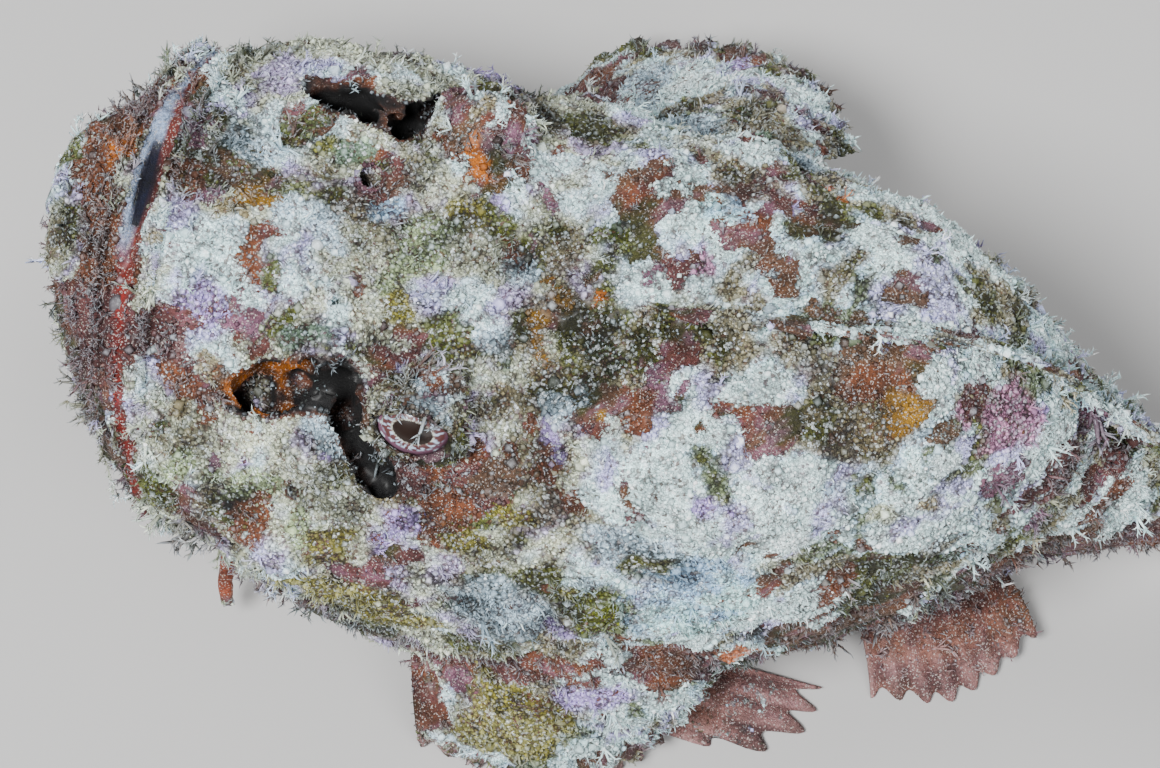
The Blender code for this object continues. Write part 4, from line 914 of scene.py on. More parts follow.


# Linear light of the lips, the painted shadow inside the mouth and the cheek's finger
LIP_BLUE = np.array((0.34, 0.44, 0.62))
LIP_RED = np.array((0.2, 0.015, 0.012))
LIP_BROWN = np.array((0.16, 0.035, 0.03))
MOUTH_SHADOW = np.array((0.004, 0.006, 0.018))
FINGER_RED = np.array((0.26, 0.06, 0.03))
FINGER_SPECK = np.array((0.46, 0.24, 0.17))
BARE_COLOURS = ("rust", "maroon", "brown", "orange", "ochre", "black", "peach", "plum")


def vivid(tone, strength):
    """Draws colours away from their own grey, and keeps them within what a surface can reflect."""
    grey = tone @ np.array((0.2126, 0.7152, 0.0722))
    return np.clip(grey[:, None] + (tone - grey[:, None]) * strength, 0.003, 0.92)


def marking_layers(points):
    """The colour of the crust, the colour of the skin under it and how far the crust covers it, at
    places on the straight fish. Noise chooses both colours; then each patch is laid on one of them,
    its edge ragged because it is drawn on places that noise has pushed about."""
    pushed = warped(points)
    cloud = layered_noise(points, 15.0 * MM, 21.0)
    patchy = layered_noise(pushed, 6.0 * MM, 31.0, 4)
    small = layered_noise(pushed, 3.2 * MM, 36.0, 3)
    other = layered_noise(pushed, 8.0 * MM, 41.0, 4)
    high = lumps(points) + 0.35 * small
    back = 0.3 * smooth_step(75.0, 100.0, points[:, 0] / MM)
    pale = smooth_step(0.08, 0.5, high + 0.4 * cloud + 1.6 * back)
    behind = smooth_step(85.0, 105.0, points[:, 0] / MM)
    bright = mix(colour_of("white")[None], colour_of("bluewhite")[None] * 1.1, 0.45 * behind)
    crust = mix(colour_of("cream")[None], bright, pale)
    crust = mix(crust, colour_of("lilac")[None], 0.7 * smooth_step(0.14, 0.4, patchy))
    crust = mix(crust, colour_of("tan")[None], 0.8 * smooth_step(-0.05, -0.3, high))
    crust = mix(crust, colour_of("olive")[None], 0.9 * smooth_step(0.2, 0.42, other - 0.5 * high))
    bare = mix(colour_of("rust")[None], colour_of("maroon")[None], smooth_step(-0.3, 0.3, patchy))
    bare = mix(bare, colour_of("brown")[None], 0.8 * smooth_step(0.0, 0.3, cloud))
    bare = mix(bare, colour_of("darkolive")[None], 0.85 * smooth_step(0.12, 0.35, other))
    bare = mix(bare, colour_of("plum")[None], 0.6 * smooth_step(0.15, 0.4, small))
    cover = crust_cover(points)
    cover = cover * (1.0 - 0.7 * smooth_step(-0.5, -0.75, high + back))
    for x, y, z, radius, name in PATCHES:
        spread = radius * 1.12
        near = np.linalg.norm(points - np.array((x, y, z)) * MM, axis=1) < (spread * 1.4 + 5.0) * MM
        if not near.any():
            continue
        away = np.linalg.norm(pushed[near] - np.array((x, y, z)) * MM, axis=1) / (spread * MM)
        broken = away + 0.35 * small[near] + 0.3 * patchy[near]
        share = 0.95 * smooth_step(1.2, 0.85, broken)
        if name in BARE_COLOURS:
            bare[near] = mix(bare[near], colour_of(name)[None], share)
            cover[near] = cover[near] * (1.0 - 0.78 * share)
        else:
            crust[near] = mix(crust[near], colour_of(name)[None], share)
            cover[near] = cover[near] + (0.9 - cover[near]) * 0.9 * share
    # Painted shade: crust and bare skin darker in the hollows between the lumps and lighter on their tops. Both
    # are also lighter behind the head, and the crust on the head is a little darker.
    shade = (0.27 + 0.98 * smooth_step(-0.6, 0.35, high + 0.6 * back))[:, None]
    crust = crust * shade * (0.86 + 0.14 * behind)[:, None]
    bare = bare * (0.3 + 0.7 * shade)
    belly = smooth_step(7.0 * MM, 2.0 * MM, points[:, 2]) * (points[:, 0] < 0.2)
    bare = mix(bare, colour_of("pink")[None], 0.6 * belly)
    # Painted shadow: the pit before the eye and its gully are black, broken by rust and by the orange tissue on
    # the pit's wall.
    pit = smooth_step(1.30, 1.08, pit_nearness(points))
    dark = mix(colour_of("black")[None], colour_of("rust")[None], 0.6 * smooth_step(0.1, 0.5, patchy))
    ember = smooth_step(8.5, 6.0, np.linalg.norm(points - np.array((39, -23, 62)) * MM, axis=1) / MM)
    ember = ember * smooth_step(0.0, 0.12, layered_noise(points, 3.6 * MM, 81.0, 3))
    dark = mix(dark, colour_of("orange")[None] * 0.8, ember)
    bare = mix(bare, dark, pit)
    across_slit = (points - LIP_TIP) @ LIP_INWARD / MM
    by_mouth = (points[:, 0] < 0.04) & (points[:, 2] > 0.02)
    depth = depth_inside(points) / MM
    mouth = smooth_step(0.5, 1.3, depth) * smooth_step(3.0, 2.2, np.abs(across_slit)) * by_mouth
    mouth = mouth * smooth_step(1.9, 1.4, mouth_nearness(points))
    band = lip_band(points)
    slit_edge = smooth_step(band + 0.7, band + 0.1, np.abs(across_slit)) * by_mouth * (1.0 - mouth)
    left_end = smooth_step(-8.0, -14.0, points[:, 1] / MM)[:, None]
    lower_lip = LIP_BLUE * (1.0 - left_end) + LIP_RED * left_end
    lip = np.where((across_slit < 0.0)[:, None], lower_lip, LIP_BROWN)
    bare = mix(bare, lip, 0.85 * slit_edge)
    # Painted shadow: the inside of the mouth's slit is near black.
    bare = mix(bare, MOUTH_SHADOW[None], mouth)
    finger = smooth_step(1.15, 0.85, finger_nearness(points))
    speck = noise(points, 0.8 * MM, 71.0) + 0.6 * noise(points, 0.45 * MM, 72.0)
    fleshy = mix(FINGER_RED[None], FINGER_SPECK[None], smooth_step(0.7, 0.9, speck))
    bare = mix(bare, fleshy, finger)
    hidden = np.maximum(np.maximum(pit, mouth), np.maximum(slit_edge, finger))
    cover = cover * (1.0 - hidden) * (1.0 - 0.6 * belly)
    return vivid(crust, 1.6), vivid(bare * 0.7, 1.15), np.clip(cover, 0.0, 1.0)


def marking(points):
    """One colour for a tuft rooted at each point: the crust's where it covers, the bare skin's where not."""
    crust, bare, cover = marking_layers(points)
    ragged = cover + 0.3 * noise(points, 1.1 * MM, 77.0) + 0.4 * noise(points, 0.35 * MM, 78.0)
    return mix(bare, crust, smooth_step(0.4, 0.6, ragged))


def finger_nearness(points):
    """Below 1 on the fleshy finger under each cheek: an ellipsoid's own measure."""
    away = (np.abs(points) - np.array((47.0, 38.0, 15.0)) * MM) / (np.array((5.5, 6.0, 9.5)) * MM)
    return np.linalg.norm(away, axis=1)


# Fins


def fan_grid(lists, side, rays, notch, per_ray=8, steps=44):
    """Quadratic arcs from the root to the edge, pulled towards the middle points; the edge draws in
    between rays by the notch times 0.5 - 0.5 cos. Gives the grid, the ray wave and how far out."""
    count = (rays - 1) * per_ray + 1
    across = np.linspace(0.0, 1.0, count)
    ridge = 0.5 + 0.5 * np.cos(2.0 * math.pi * across * (rays - 1))

    def spread(points):
        points = np.array(points, float) * (1.0, side, 1.0) * MM
        at = np.linspace(0.0, 1.0, len(points))
        return np.stack([monotone_curve(at, points[:, k], across) for k in range(3)], axis=-1)

    start, bow, end = (spread(points) for points in lists)
    ragged = notch * (1.0 - ridge) + 0.025 * noise(end, 6.0 * MM, 3.0) ** 2
    end = start + (end - start) * (1.0 - ragged)[:, None]
    v = np.linspace(0.0, 1.0, steps)[None, :, None]
    grid = (1 - v) ** 2 * start[:, None] + 2 * v * (1 - v) * bow[:, None] + v * v * end[:, None]
    return grid, np.broadcast_to(ridge[:, None], grid.shape[:2]), np.broadcast_to(v[..., 0], grid.shape[:2])


def back_fin_grid(first, last, rays, heights, rise, side_lean, notch, per_ray=9, steps=30):
    """Straight rays rise a little from the line of the back and lean aside; between rays the edge
    drops by the notch, more towards the next ray."""
    count = (rays - 1) * per_ray + 1
    share = np.linspace(0.0, 1.0, count)
    phase = share * (rays - 1) % 1.0
    ridge = 0.5 + 0.5 * np.cos(2.0 * math.pi * share * (rays - 1))
    x = (first + (last - first) * share) * MM
    root = np.stack([x, np.zeros(count), section(x)[1] - 1.5 * MM], axis=-1)
    hollow = 1.0 - notch * (0.35 + 0.65 * phase) * smooth_step(1.0, 0.75, ridge)
    tall = monotone_curve(np.linspace(0.0, 1.0, len(heights)), np.array(heights) * MM, share)
    slope = (section(x + 8.0 * MM)[1] - section(x - 8.0 * MM)[1]) / (16.0 * MM)
    along = normalized(np.stack([np.ones(count), np.zeros(count), slope], axis=-1))
    up = np.stack([-along[:, 2], np.zeros(count), along[:, 0]], axis=-1)
    aside = up * math.cos(side_lean) - np.array((0.0, math.sin(side_lean), 0.0))
    direction = along * math.cos(rise) + aside * math.sin(rise)
    v = np.linspace(0.0, 1.0, steps)
    reach = (1.5 * MM + tall * hollow)[:, None] * v[None, :]
    grid = root[:, None] + direction[:, None] * reach[..., None]
    return grid, np.broadcast_to(ridge[:, None], grid.shape[:2]), np.broadcast_to(v[None, :], grid.shape[:2])


def fin_object(name, grid, ridge, out, thick_root, thick_tip, band, redness):
    """Closed sheet over the grid: each face stands off it by half a thickness that rays and crust swell."""
    rows, columns = grid.shape[:2]
    normal = grid_normals(grid)
    flat = grid.reshape(-1, 3)
    swell = 0.45 + 0.55 * ridge**2
    thick = (thick_root + (thick_tip - thick_root) * out**0.6) * swell
    edge = np.minimum(1.0, 0.25 + 6.0 * (1.0 - out))
    ends = np.minimum(np.arange(rows), np.arange(rows)[::-1]) / 4.0
    edge = edge * np.clip(0.3 + 0.7 * ends, 0.0, 1.0)[:, None]
    half = np.maximum(thick * edge, 0.42 * MM) / 2.0
    crust = [
        np.maximum(layered_noise(flat, 3.5 * MM, seed, 2), -0.25).reshape(rows, columns) for seed in (2.0, 4.0)
    ]
    wave = 0.5 * MM * noise(flat, 11.0 * MM, 6.0).reshape(rows, columns) * out
    upper = grid + normal * (wave + half + 0.55 * MM * crust[0] * edge)[..., None]
    under = grid + normal * (wave - half - 0.35 * MM * crust[1] * edge)[..., None]
    straight = np.concatenate([upper.reshape(-1, 3), under.reshape(-1, 3)])
    straight[:, 2] = np.maximum(straight[:, 2], 0.0)
    quads = grid_faces(rows, columns)
    rim = np.concatenate([
        np.arange(columns), np.arange(1, rows) * columns + columns - 1,
        (rows - 1) * columns + np.arange(columns - 2, -1, -1), np.arange(rows - 2, 0, -1) * columns,
    ])
    after = np.roll(rim, -1)
    under_start = rows * columns
    side = np.stack([rim, after, under_start + after, under_start + rim], axis=-1)
    faces = np.concatenate([quads[:, ::-1], quads + under_start, side])
    triangles = outward(straight, halved(faces))
    rays, reach = np.tile(ridge.ravel(), 2), np.tile(out.ravel(), 2)
    crust_tone, colours, cover = marking_layers(straight)
    bands = 0.5 + 0.5 * np.sin(reach * 15.0 + 2.5 * noise(straight, 12.0 * MM, 8.0))
    red = mix(colour_of("rust")[None], colour_of("maroon")[None], bands)
    colours = mix(colours, red, redness * (0.55 + 0.45 * (1 - rays)))
    colours = mix(colours, colour_of("black")[None], band * smooth_step(0.6, 0.9, bands) * (1.0 - rays) * 0.8)
    v_base = {"pectoral": 0.68, "pelvic": 0.80, "caudal": 0.86, "spiny": 0.90, "soft": 0.93, "anal": 0.96}
    low = v_base[name.split("_")[0]] + (0.06 if name.endswith("right") and "pectoral" in name else 0.0)
    low += 0.03 if name.endswith("right") and "pelvic" in name else 0.0
    position = np.tile(np.repeat(np.linspace(0.0, 1.0, rows), columns), 2)
    unwrap = np.stack([0.02 + 0.96 * position, low + 0.024 * reach], axis=-1)
    made = mesh_object(name, bend(straight), triangles, None, None, straight)
    paint_layers(made.data, crust_tone, colours, cover * (1.0 - 0.75 * redness))
    store(made.data, "unwrap", np.concatenate([unwrap, np.zeros((len(unwrap), 1))], axis=1))
    return made


# The coat

GROUND = {}


def gather_ground(*names):
    """Points, normals, straight places, unwrap and triangles of the skin and the fins, in one set."""
    parts = []
    for name in names:
        mesh = bpy.data.objects[name].data
        points, triangles = points_of(mesh), triangles_of(mesh)
        straight = stored(mesh, "straight", len(points))
        if "unwrap" in mesh.attributes:
            unwrap = stored(mesh, "unwrap", len(points))[:, :2]
        else:
            unwrap = unwrap_of(straight)
        parts.append((points, vertex_normals(points, triangles), straight, unwrap, triangles))
    first = np.cumsum([0] + [len(part[0]) for part in parts])
    joined = [np.concatenate([part[k] for part in parts]) for k in range(4)]
    triangles = np.concatenate([part[4] + start for part, start in zip(parts, first)])
    corners = joined[0][triangles]
    area = np.linalg.norm(np.cross(corners[:, 1] - corners[:, 0], corners[:, 2] - corners[:, 0]), axis=1)
    middle = joined[2][triangles].mean(axis=1)
    GROUND.update(points=joined[0], normals=joined[1], straight=joined[2], unwrap=joined[3])
    GROUND.update(triangles=triangles, area=area, middle=middle)
    bare = smooth_step(1.12, 0.98, np.minimum(pit_nearness(middle), mouth_nearness(middle)))
    lips = np.abs((middle - LIP_TIP) @ LIP_INWARD) < lip_band(middle) * MM
    finger = finger_nearness(middle)
    window = np.linalg.norm(np.abs(middle * [0, 1, 0]) + middle * [1, 0, 1] - EYE_CENTRE, axis=1)
    clear = (1.0 - bare) * (finger > 1.1) * (window > EYE_RADIUS + 1.2 * MM)
    clear = clear * np.where(lips & (middle[:, 0] < 0.034), 0.0, 1.0)
    clear = clear * smooth_step(1.0 * MM, 5.0 * MM, middle[:, 2])
    inside = (depth_inside(middle) > 0.004) & (middle[:, 0] > 0.08)
    GROUND["clear"] = clear * ~inside


def sprout(count, weight, rng):
    """Random roots: triangles are drawn by area times weight, and a point evenly inside each."""
    share = GROUND["area"] * GROUND["clear"] * weight
    total = np.cumsum(share)
    drawn = np.searchsorted(total, rng.random(count) * total[-1])
    a, b = rng.random((2, count))
    flip = a + b > 1.0
    a, b = np.where(flip, 1.0 - a, a), np.where(flip, 1.0 - b, b)
    shares = np.stack([1.0 - a - b, a, b], axis=-1)[..., None]
    corners = GROUND["triangles"][drawn]
    places, normals, straight, unwrap = (
        (GROUND[key][corners] * shares).sum(axis=1) for key in ("points", "normals", "straight", "unwrap")
    )
    return places, normalized(normals), straight, unwrap


def axes_at(normals, straight, rng, lean, wild):
    """Rows: side, ahead and out. Out is the normal, leaned tailwards and shaken at random."""
    tailward = turn_with_bend(straight, np.tile([1.0, 0.0, 0.0], (len(straight), 1)))
    out = normalized(normals + tailward * lean + rng.normal(0.0, wild, normals.shape))
    spin = rng.normal(size=normals.shape)
    side = normalized(np.cross(out, spin))
    return np.stack([side, np.cross(out, side), out], axis=1)


FINGER_HEIGHTS = np.array((-0.2, 0.6))
FINGER_WIDTHS = np.array((1.1, 0.75))


def tuft_faces(sides):
    """Faces of two rings of points and a tip, closed at the base."""
    j = np.arange(sides)
    caps = np.stack([sides + j, sides + (j + 1) % sides, np.full(sides, 2 * sides)], -1)
    base = np.stack([j[1:-1] * 0, j[2:], j[1:-1]], -1)
    return np.concatenate([halved(grid_faces(2, sides, closed=True)), caps, base])


def finger_shapes(count, slim, rng, sides=3, curl=0.35):
    """Tapering finger: two rings round a centre line bent by curl times height squared, and a tip."""
    turn = np.linspace(0.0, 2.0 * math.pi, sides, endpoint=False)
    away = rng.normal(0.0, curl, (count, 1, 2))
    rings = []
    for height, width in zip(FINGER_HEIGHTS, FINGER_WIDTHS):
        circle = np.stack([np.cos(turn), np.sin(turn)], axis=-1)[None] * width * slim
        flat = circle + away * max(height, 0.0) ** 2
        rings.append(np.concatenate([flat, np.full((count, sides, 1), height)], axis=-1))
    tip = np.concatenate([away, np.ones((count, 1, 1))], axis=-1)
    return np.concatenate([*rings, tip], axis=1), tuft_faces(sides)


def grain_shapes(count, rng, sides=4):
    """Grain: a ring with a point above and one sunk below, each corner shaken a little."""
    turn = np.linspace(0.0, 2.0 * math.pi, sides, endpoint=False)
    ring = np.stack([np.cos(turn), np.sin(turn), np.full(sides, 0.05)], axis=-1)
    shape = np.concatenate([ring, [(0.0, 0.0, 0.8), (0.0, 0.0, -0.8)]])
    shapes = shape[None] * rng.uniform(0.72, 1.28, (count, sides + 2, 1))
    j = np.arange(sides)
    k = (j + 1) % sides
    top = np.stack([j, k, np.full(sides, sides)], -1)
    return shapes, np.concatenate([top, np.stack([k, j, np.full(sides, sides + 1)], -1)])


def knob_shapes(count, rng, sides=8):
    """Low dome: a sunk ring, a ring half way up and a top, each corner shaken a little."""
    turn = np.linspace(0.0, 2.0 * math.pi, sides, endpoint=False)
    low = np.stack([np.cos(turn), np.sin(turn), np.full(sides, -0.5)], axis=-1)
    mid = np.stack([0.86 * np.cos(turn + 0.4), 0.86 * np.sin(turn + 0.4), np.full(sides, 0.35)], axis=-1)
    shape = np.concatenate([low, mid, [(0.0, 0.0, 0.75)]])
    shapes = shape[None] * rng.uniform(0.75, 1.25, (count, 2 * sides + 1, 1))
    return shapes, tuft_faces(sides)


def planted(roots, axes, sizes, shapes):
    """Point = root + size times (x side + y ahead + z out), for every shape at once."""
    return roots[:, None] + np.einsum("nki,nij->nkj", shapes * sizes[:, None, None], axes)


def coat_object(name, points, faces, colours, roots_unwrap, shapes, most=195000):
    """One mesh, or several where the faces would pass the limit. Each tuft's patch of the unwrap is
    0.003 across, at its root's place."""
    count, each = points.shape[:2]
    spread = shapes[..., :2] * 0.6 + shapes[..., 2:] * (0.5, 0.8) - 0.3
    unwrap = roots_unwrap[:, None] + 0.0015 * np.clip(spread, -1.0, 1.0)
    per_piece = most // len(faces)
    made = []
    for number, start in enumerate(range(0, count, per_piece)):
        part = slice(start, min(start + per_piece, count))
        size = part.stop - part.start
        all_faces = (faces[None] + np.arange(size)[:, None, None] * each).reshape(-1, 3)
        label = name if count <= per_piece else f"{name}_{number + 1}"
        made.append(mesh_object(
            label, points[part].reshape(-1, 3), all_faces, colours[part].reshape(-1, 3),
            unwrap[part].reshape(-1, 2),
        ))
    return made


def tuft_colours(straight, shapes, rng, pale, dark_root=0.75):
    """The skin's own marking at each root, lighter towards the tips and varied from tuft to tuft."""
    base = marking(straight) * rng.lognormal(-0.05, 0.3, (len(straight), 1))
    rise = np.clip(shapes[..., 2], 0.0, 1.0)[..., None]
    light = colour_of("white")
    share = pale[:, None, None] * rise
    tone = base[:, None] * (dark_root + (1.1 - dark_root) * rise)
    return np.clip(tone + (light - tone) * share, 0.003, 0.92)


def keep_in_box(points):
    """Pulls points back inside the solids' whole box and off the floor."""
    low, high = (np.array(corner) for corner in BOX_BEFORE)
    return np.clip(points, np.maximum(low, (-1, -1, 0.0)), high)


# Materials


class Wiring:
    """Short ways to add nodes to one tree and to link them or set their constants."""

    def __init__(self, tree):
        self.nodes, self.link = tree.nodes, tree.links.new

    def plug(self, entry, value):
        """Links an output to an input, or sets a constant on it."""
        if isinstance(value, bpy.types.NodeSocket):
            self.link(value, entry)
        else:
            entry.default_value = value

    def add(self, kind, **inputs):
        """A node with its inputs given by name."""
        made = self.nodes.new("ShaderNode" + kind)
        for name, value in inputs.items():
            self.plug(made.inputs[name], value)
        return made

    def attribute(self, name):
        """A colour attribute of the mesh."""
        made = self.add("Attribute")
        made.attribute_name = name
        return made

    def maths(self, operation, *values, kind="Math"):
        """The result of a sum on numbers, or on vectors with kind VectorMath."""
        made = self.nodes.new("ShaderNode" + kind)
        made.operation = operation
        for entry, value in zip(made.inputs, values):
            self.plug(entry, value)
        return made.outputs[0]

    def scaled(self, vector, scale):
        """A vector or colour times a number."""
        made = self.nodes.new("ShaderNodeVectorMath")
        made.operation = "SCALE"
        self.plug(made.inputs["Vector"], vector)
        self.plug(made.inputs["Scale"], scale)
        return made.outputs["Vector"]

    def ramp(self, value, low, high, first=0.0, last=1.0):
        """Maps low..high to first..last."""
        made = self.add("MapRange", Value=value)
        for name, number in (("From Min", low), ("From Max", high), ("To Min", first), ("To Max", last)):
            self.plug(made.inputs[name], number)
        return made.outputs["Result"]

    def blend(self, share, start, end):
        """The colour from start to end by a share."""
        made = self.nodes.new("ShaderNodeMix")
        made.data_type = "RGBA"
        for name, value in (("Factor", share), ("A", start), ("B", end)):
            self.plug(made.inputs[name], value)
        return made.outputs["Result"]


GRAIN_SOCKETS = (
    ("Place", "INPUT", "Vector", None), ("Crust", "INPUT", "Color", (0.5, 0.5, 0.5, 1.0)),
    ("Bare", "INPUT", "Color", (0.2, 0.1, 0.1, 1.0)), ("Cover", "INPUT", "Float", 1.0),
    ("Contrast", "INPUT", "Float", 1.0), ("Colour", "OUTPUT", "Color", None),
    ("Roughness", "OUTPUT", "Float", None), ("Height", "OUTPUT", "Float", None),
)
# Grains to a metre, of the large and the small kind
GRAINS_PER_METRE = (1900.0, 4600.0)
WHITE_GRAIN = (0.78, 0.85, 0.88, 1.0)
PALE_SPECK = (0.62, 0.56, 0.52, 1.0)


def crust_grain_group():
    """Grows granules over bare skin. Where cover and noise pass a threshold the crust's colour shows,
    in grains with gaps darkened by painted shade, each grain lighter or darker; elsewhere the bare
    colour, with pale specks."""
    group = bpy.data.node_groups.new("Crust grain", "ShaderNodeTree")
    for name, direction, kind, value in GRAIN_SOCKETS:
        made = group.interface.new_socket(name=name, in_out=direction, socket_type="NodeSocket" + kind)
        if value is not None:
            made.default_value = value
    wires = Wiring(group)
    start, end = group.nodes.new("NodeGroupInput"), group.nodes.new("NodeGroupOutput")
    place, crust, bare = (start.outputs[name] for name in ("Place", "Crust", "Bare"))
    jitter = wires.add("TexNoise", Vector=place, Scale=900.0, Detail=2.0)
    shaken = wires.maths("ADD", place, wires.scaled(jitter.outputs["Color"], 0.0005), kind="VectorMath")
    cells, small = (wires.add("TexVoronoi", Vector=shaken, Scale=scale) for scale in GRAINS_PER_METRE)
    fine = wires.add("TexNoise", Vector=place, Scale=2400.0, Detail=4.0, Roughness=0.65).outputs["Fac"]
    rag = wires.add("TexNoise", Vector=place, Scale=420.0, Detail=6.0, Roughness=0.68).outputs["Fac"]
    clumps = wires.add("TexNoise", Vector=place, Scale=330.0, Detail=3.0).outputs["Fac"]
    broad = wires.add("TexNoise", Vector=place, Scale=150.0, Detail=5.0, Roughness=0.6).outputs["Fac"]
    random = wires.add("SeparateColor", Color=cells.outputs["Color"]).outputs
    tiny = wires.add("SeparateColor", Color=small.outputs["Color"]).outputs
    shake = wires.maths(
        "ADD", wires.ramp(rag, 0.3, 0.7, -0.42, 0.42), wires.ramp(random["Green"], 0.0, 1.0, -0.3, 0.3)
    )
    mask = wires.ramp(wires.maths("ADD", shake, start.outputs["Cover"]), 0.42, 0.58)
    # Painted shade between the grains: each grain darker towards its edge, most where the clumps say and least
    # where the crust is chalky; tiny_gap darkens the small grains' edges and also roughens the height.
    green = wires.add("SeparateColor", Color=crust).outputs["Green"]
    chalky = wires.ramp(green, 0.3, 0.75, 0.0, 0.42)
    depth = wires.maths("ADD", wires.ramp(clumps, 0.38, 0.6, 0.72, 0.14), chalky)
    tiny_gap = wires.ramp(small.outputs["Distance"], 0.25, 0.75, 1.12, 0.6)
    shade = wires.ramp(broad, 0.34, 0.6, 0.4, 1.35)
    bright = wires.ramp(random["Red"], 0.0, 1.0, 0.6, 1.25)
    for factor in (
        wires.ramp(cells.outputs["Distance"], 0.3, 0.7, 1.1, depth), tiny_gap,
        wires.ramp(tiny["Red"], 0.0, 1.0, 0.72, 1.2), shade,
    ):
        bright = wires.maths("MULTIPLY", bright, factor)
    tinted = wires.blend(wires.ramp(random["Blue"], 0.72, 0.8, 0.0, 0.6), crust, WHITE_GRAIN)
    odd = wires.ramp(random["Green"], 0.82, 0.86, 0.0, 0.75)
    under = wires.maths("MAXIMUM", wires.ramp(clumps, 0.52, 0.64, 0.0, 0.5), odd)
    crusted = wires.scaled(wires.blend(under, tinted, bare), bright)
    low = wires.scaled(bare, wires.maths("MULTIPLY", wires.ramp(fine, 0.3, 0.7, 0.45, 1.4), shade))
    red = wires.add("SeparateColor", Color=bare).outputs["Red"]
    lit = wires.ramp(red, 0.015, 0.08, 0.0, 0.5)
    speck = wires.maths("MULTIPLY", wires.ramp(tiny["Blue"], 0.86, 0.92), lit)
    both = wires.blend(mask, wires.blend(speck, low, PALE_SPECK), crusted)
    wires.plug(end.inputs["Colour"], wires.blend(start.outputs["Contrast"], crust, both))
    wires.plug(end.inputs["Roughness"], wires.ramp(fine, 0.0, 1.0, 0.55, 0.95))
    dome = wires.maths("MULTIPLY", wires.ramp(cells.outputs["Distance"], 0.0, 0.7, 1.0, 0.0), mask)
    rise = wires.maths("MULTIPLY_ADD", mask, 0.8, dome)
    rough = wires.maths("MULTIPLY_ADD", tiny_gap, 0.5, rise)
    wires.plug(end.inputs["Height"], wires.maths("MULTIPLY_ADD", fine, 0.6, rough))
    return group


def painted_material(name, **constants):
    """A material with constants set on its Principled surface; gives both and the wiring."""
    material = bpy.data.materials.new(name)
    material.use_nodes = True
    shader = material.node_tree.nodes["Principled BSDF"]
    for entry, value in constants.items():
        shader.inputs[entry.replace("_", " ")].default_value = value
    return material, shader, Wiring(material.node_tree)


def crusted_material(name, contrast, bump, layered=False):
    """Marking attribute through the crust grain, on a Principled surface. Skin and fins have the
    bare colour and the cover too; a tuft has one colour."""
    material, shader, wires = painted_material(
        name, Coat_Weight=0.08, Coat_Roughness=0.3, Specular_IOR_Level=0.3
    )
    tint = wires.attribute("marking").outputs
    grain = wires.add("Group")
    grain.node_tree = bpy.data.node_groups.get("Crust grain") or crust_grain_group()
    place = wires.add("TexCoord").outputs["Object"]
    inputs = [("Contrast", contrast), ("Place", place), ("Crust", tint["Color"]), ("Bare", tint["Color"])]
    if layered:
        inputs[-1] = ("Bare", wires.attribute("bare").outputs["Color"])
        inputs.append(("Cover", tint["Alpha"]))
    for entry, value in inputs:
        wires.plug(grain.inputs[entry], value)
    wires.plug(shader.inputs["Base Color"], grain.outputs["Colour"])
    wires.plug(shader.inputs["Roughness"], grain.outputs["Roughness"])
    relief = wires.add("Bump", Strength=bump, Distance=0.0005, Height=grain.outputs["Height"])
    wires.plug(shader.inputs["Normal"], relief.outputs["Normal"])
    return material


def wet_material(name, roughness):
    """Marking attribute under a clear wet coat, for the eyes."""
    material, shader, wires = painted_material(
        name, Roughness=roughness, Coat_Weight=0.15, Coat_Roughness=0.08, Specular_IOR_Level=0.25
    )
    wires.plug(shader.inputs["Base Color"], wires.attribute("marking").outputs["Color"])
    return material


def dress(made, material, slot, *nodes):
    """Gives a finished piece its material and its body, and hides the nodes that it stands for. The slot is not
    used.
    """
    made.data.materials.clear()
    made.data.materials.append(material)
    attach(made, "root")
    if nodes:
        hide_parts(*nodes)


# Eyes


def eyeball(side):
    """Sphere turned to the eye's axis. The pupil is an oval about the axis, the ring round it is
    flecked by the angle round the axis, and the rest is plum with pale spots."""
    mirror = np.array((1.0, side, 1.0))
    centre, axis = EYE_CENTRE * mirror, LID_AXIS * mirror
    fore, across, out = frame_of(axis)
    name = "eye_right" if side > 0 else "eye_left"
    radii = np.full(3, EYE_RADIUS - 0.05 * MM)
    made = ellipsoid(name + "_ball", centre, radii, (fore, across, out), 160, 120)
    points = points_of(made.data)
    local = (points - centre) / EYE_RADIUS
    a, b, c = local @ fore, local @ (across * np.sign(across[2])), local @ out
    pupil = np.hypot(a / PUPIL[0], (b + 0.05) / PUPIL[1])
    ring = np.hypot(a / RING[0], (b + 0.03) / RING[1])
    turn = np.arctan2(b, a)
    flecks = noise(np.stack([turn * 3.0, pupil * 1.2, c * 0], -1), 0.26, 5.0)
    tone = np.tile(colour_of("plum") * 0.8, (len(points), 1))
    spots = smooth_step(0.35, 0.6, noise(local, 0.10, 9.0))
    tone = mix(tone, colour_of("white")[None], spots * 0.9)
    streaks = 0.65 * smooth_step(0.1, 0.5, flecks)
    iris = mix(colour_of("maroon")[None] * 0.9, colour_of("bluewhite")[None], streaks)
    tone = mix(tone, iris, smooth_step(1.05, 0.95, ring))
    edge = 0.8 * smooth_step(1.12, 1.05, pupil) * smooth_step(-0.6, 0.1, flecks)
    tone = mix(tone, colour_of("cream")[None] * 0.9, edge)
    tone = mix(tone, np.array((0.012, 0.006, 0.004))[None], smooth_step(1.03, 0.97, pupil))
    posed = bend(points)
    made.data.vertices.foreach_set("co", posed.astype(np.float32).ravel())
    paint(made.data, "marking", np.clip(tone, 0.0, 0.9))
    made.data.shade_smooth()
    return made, name


# What a user changes


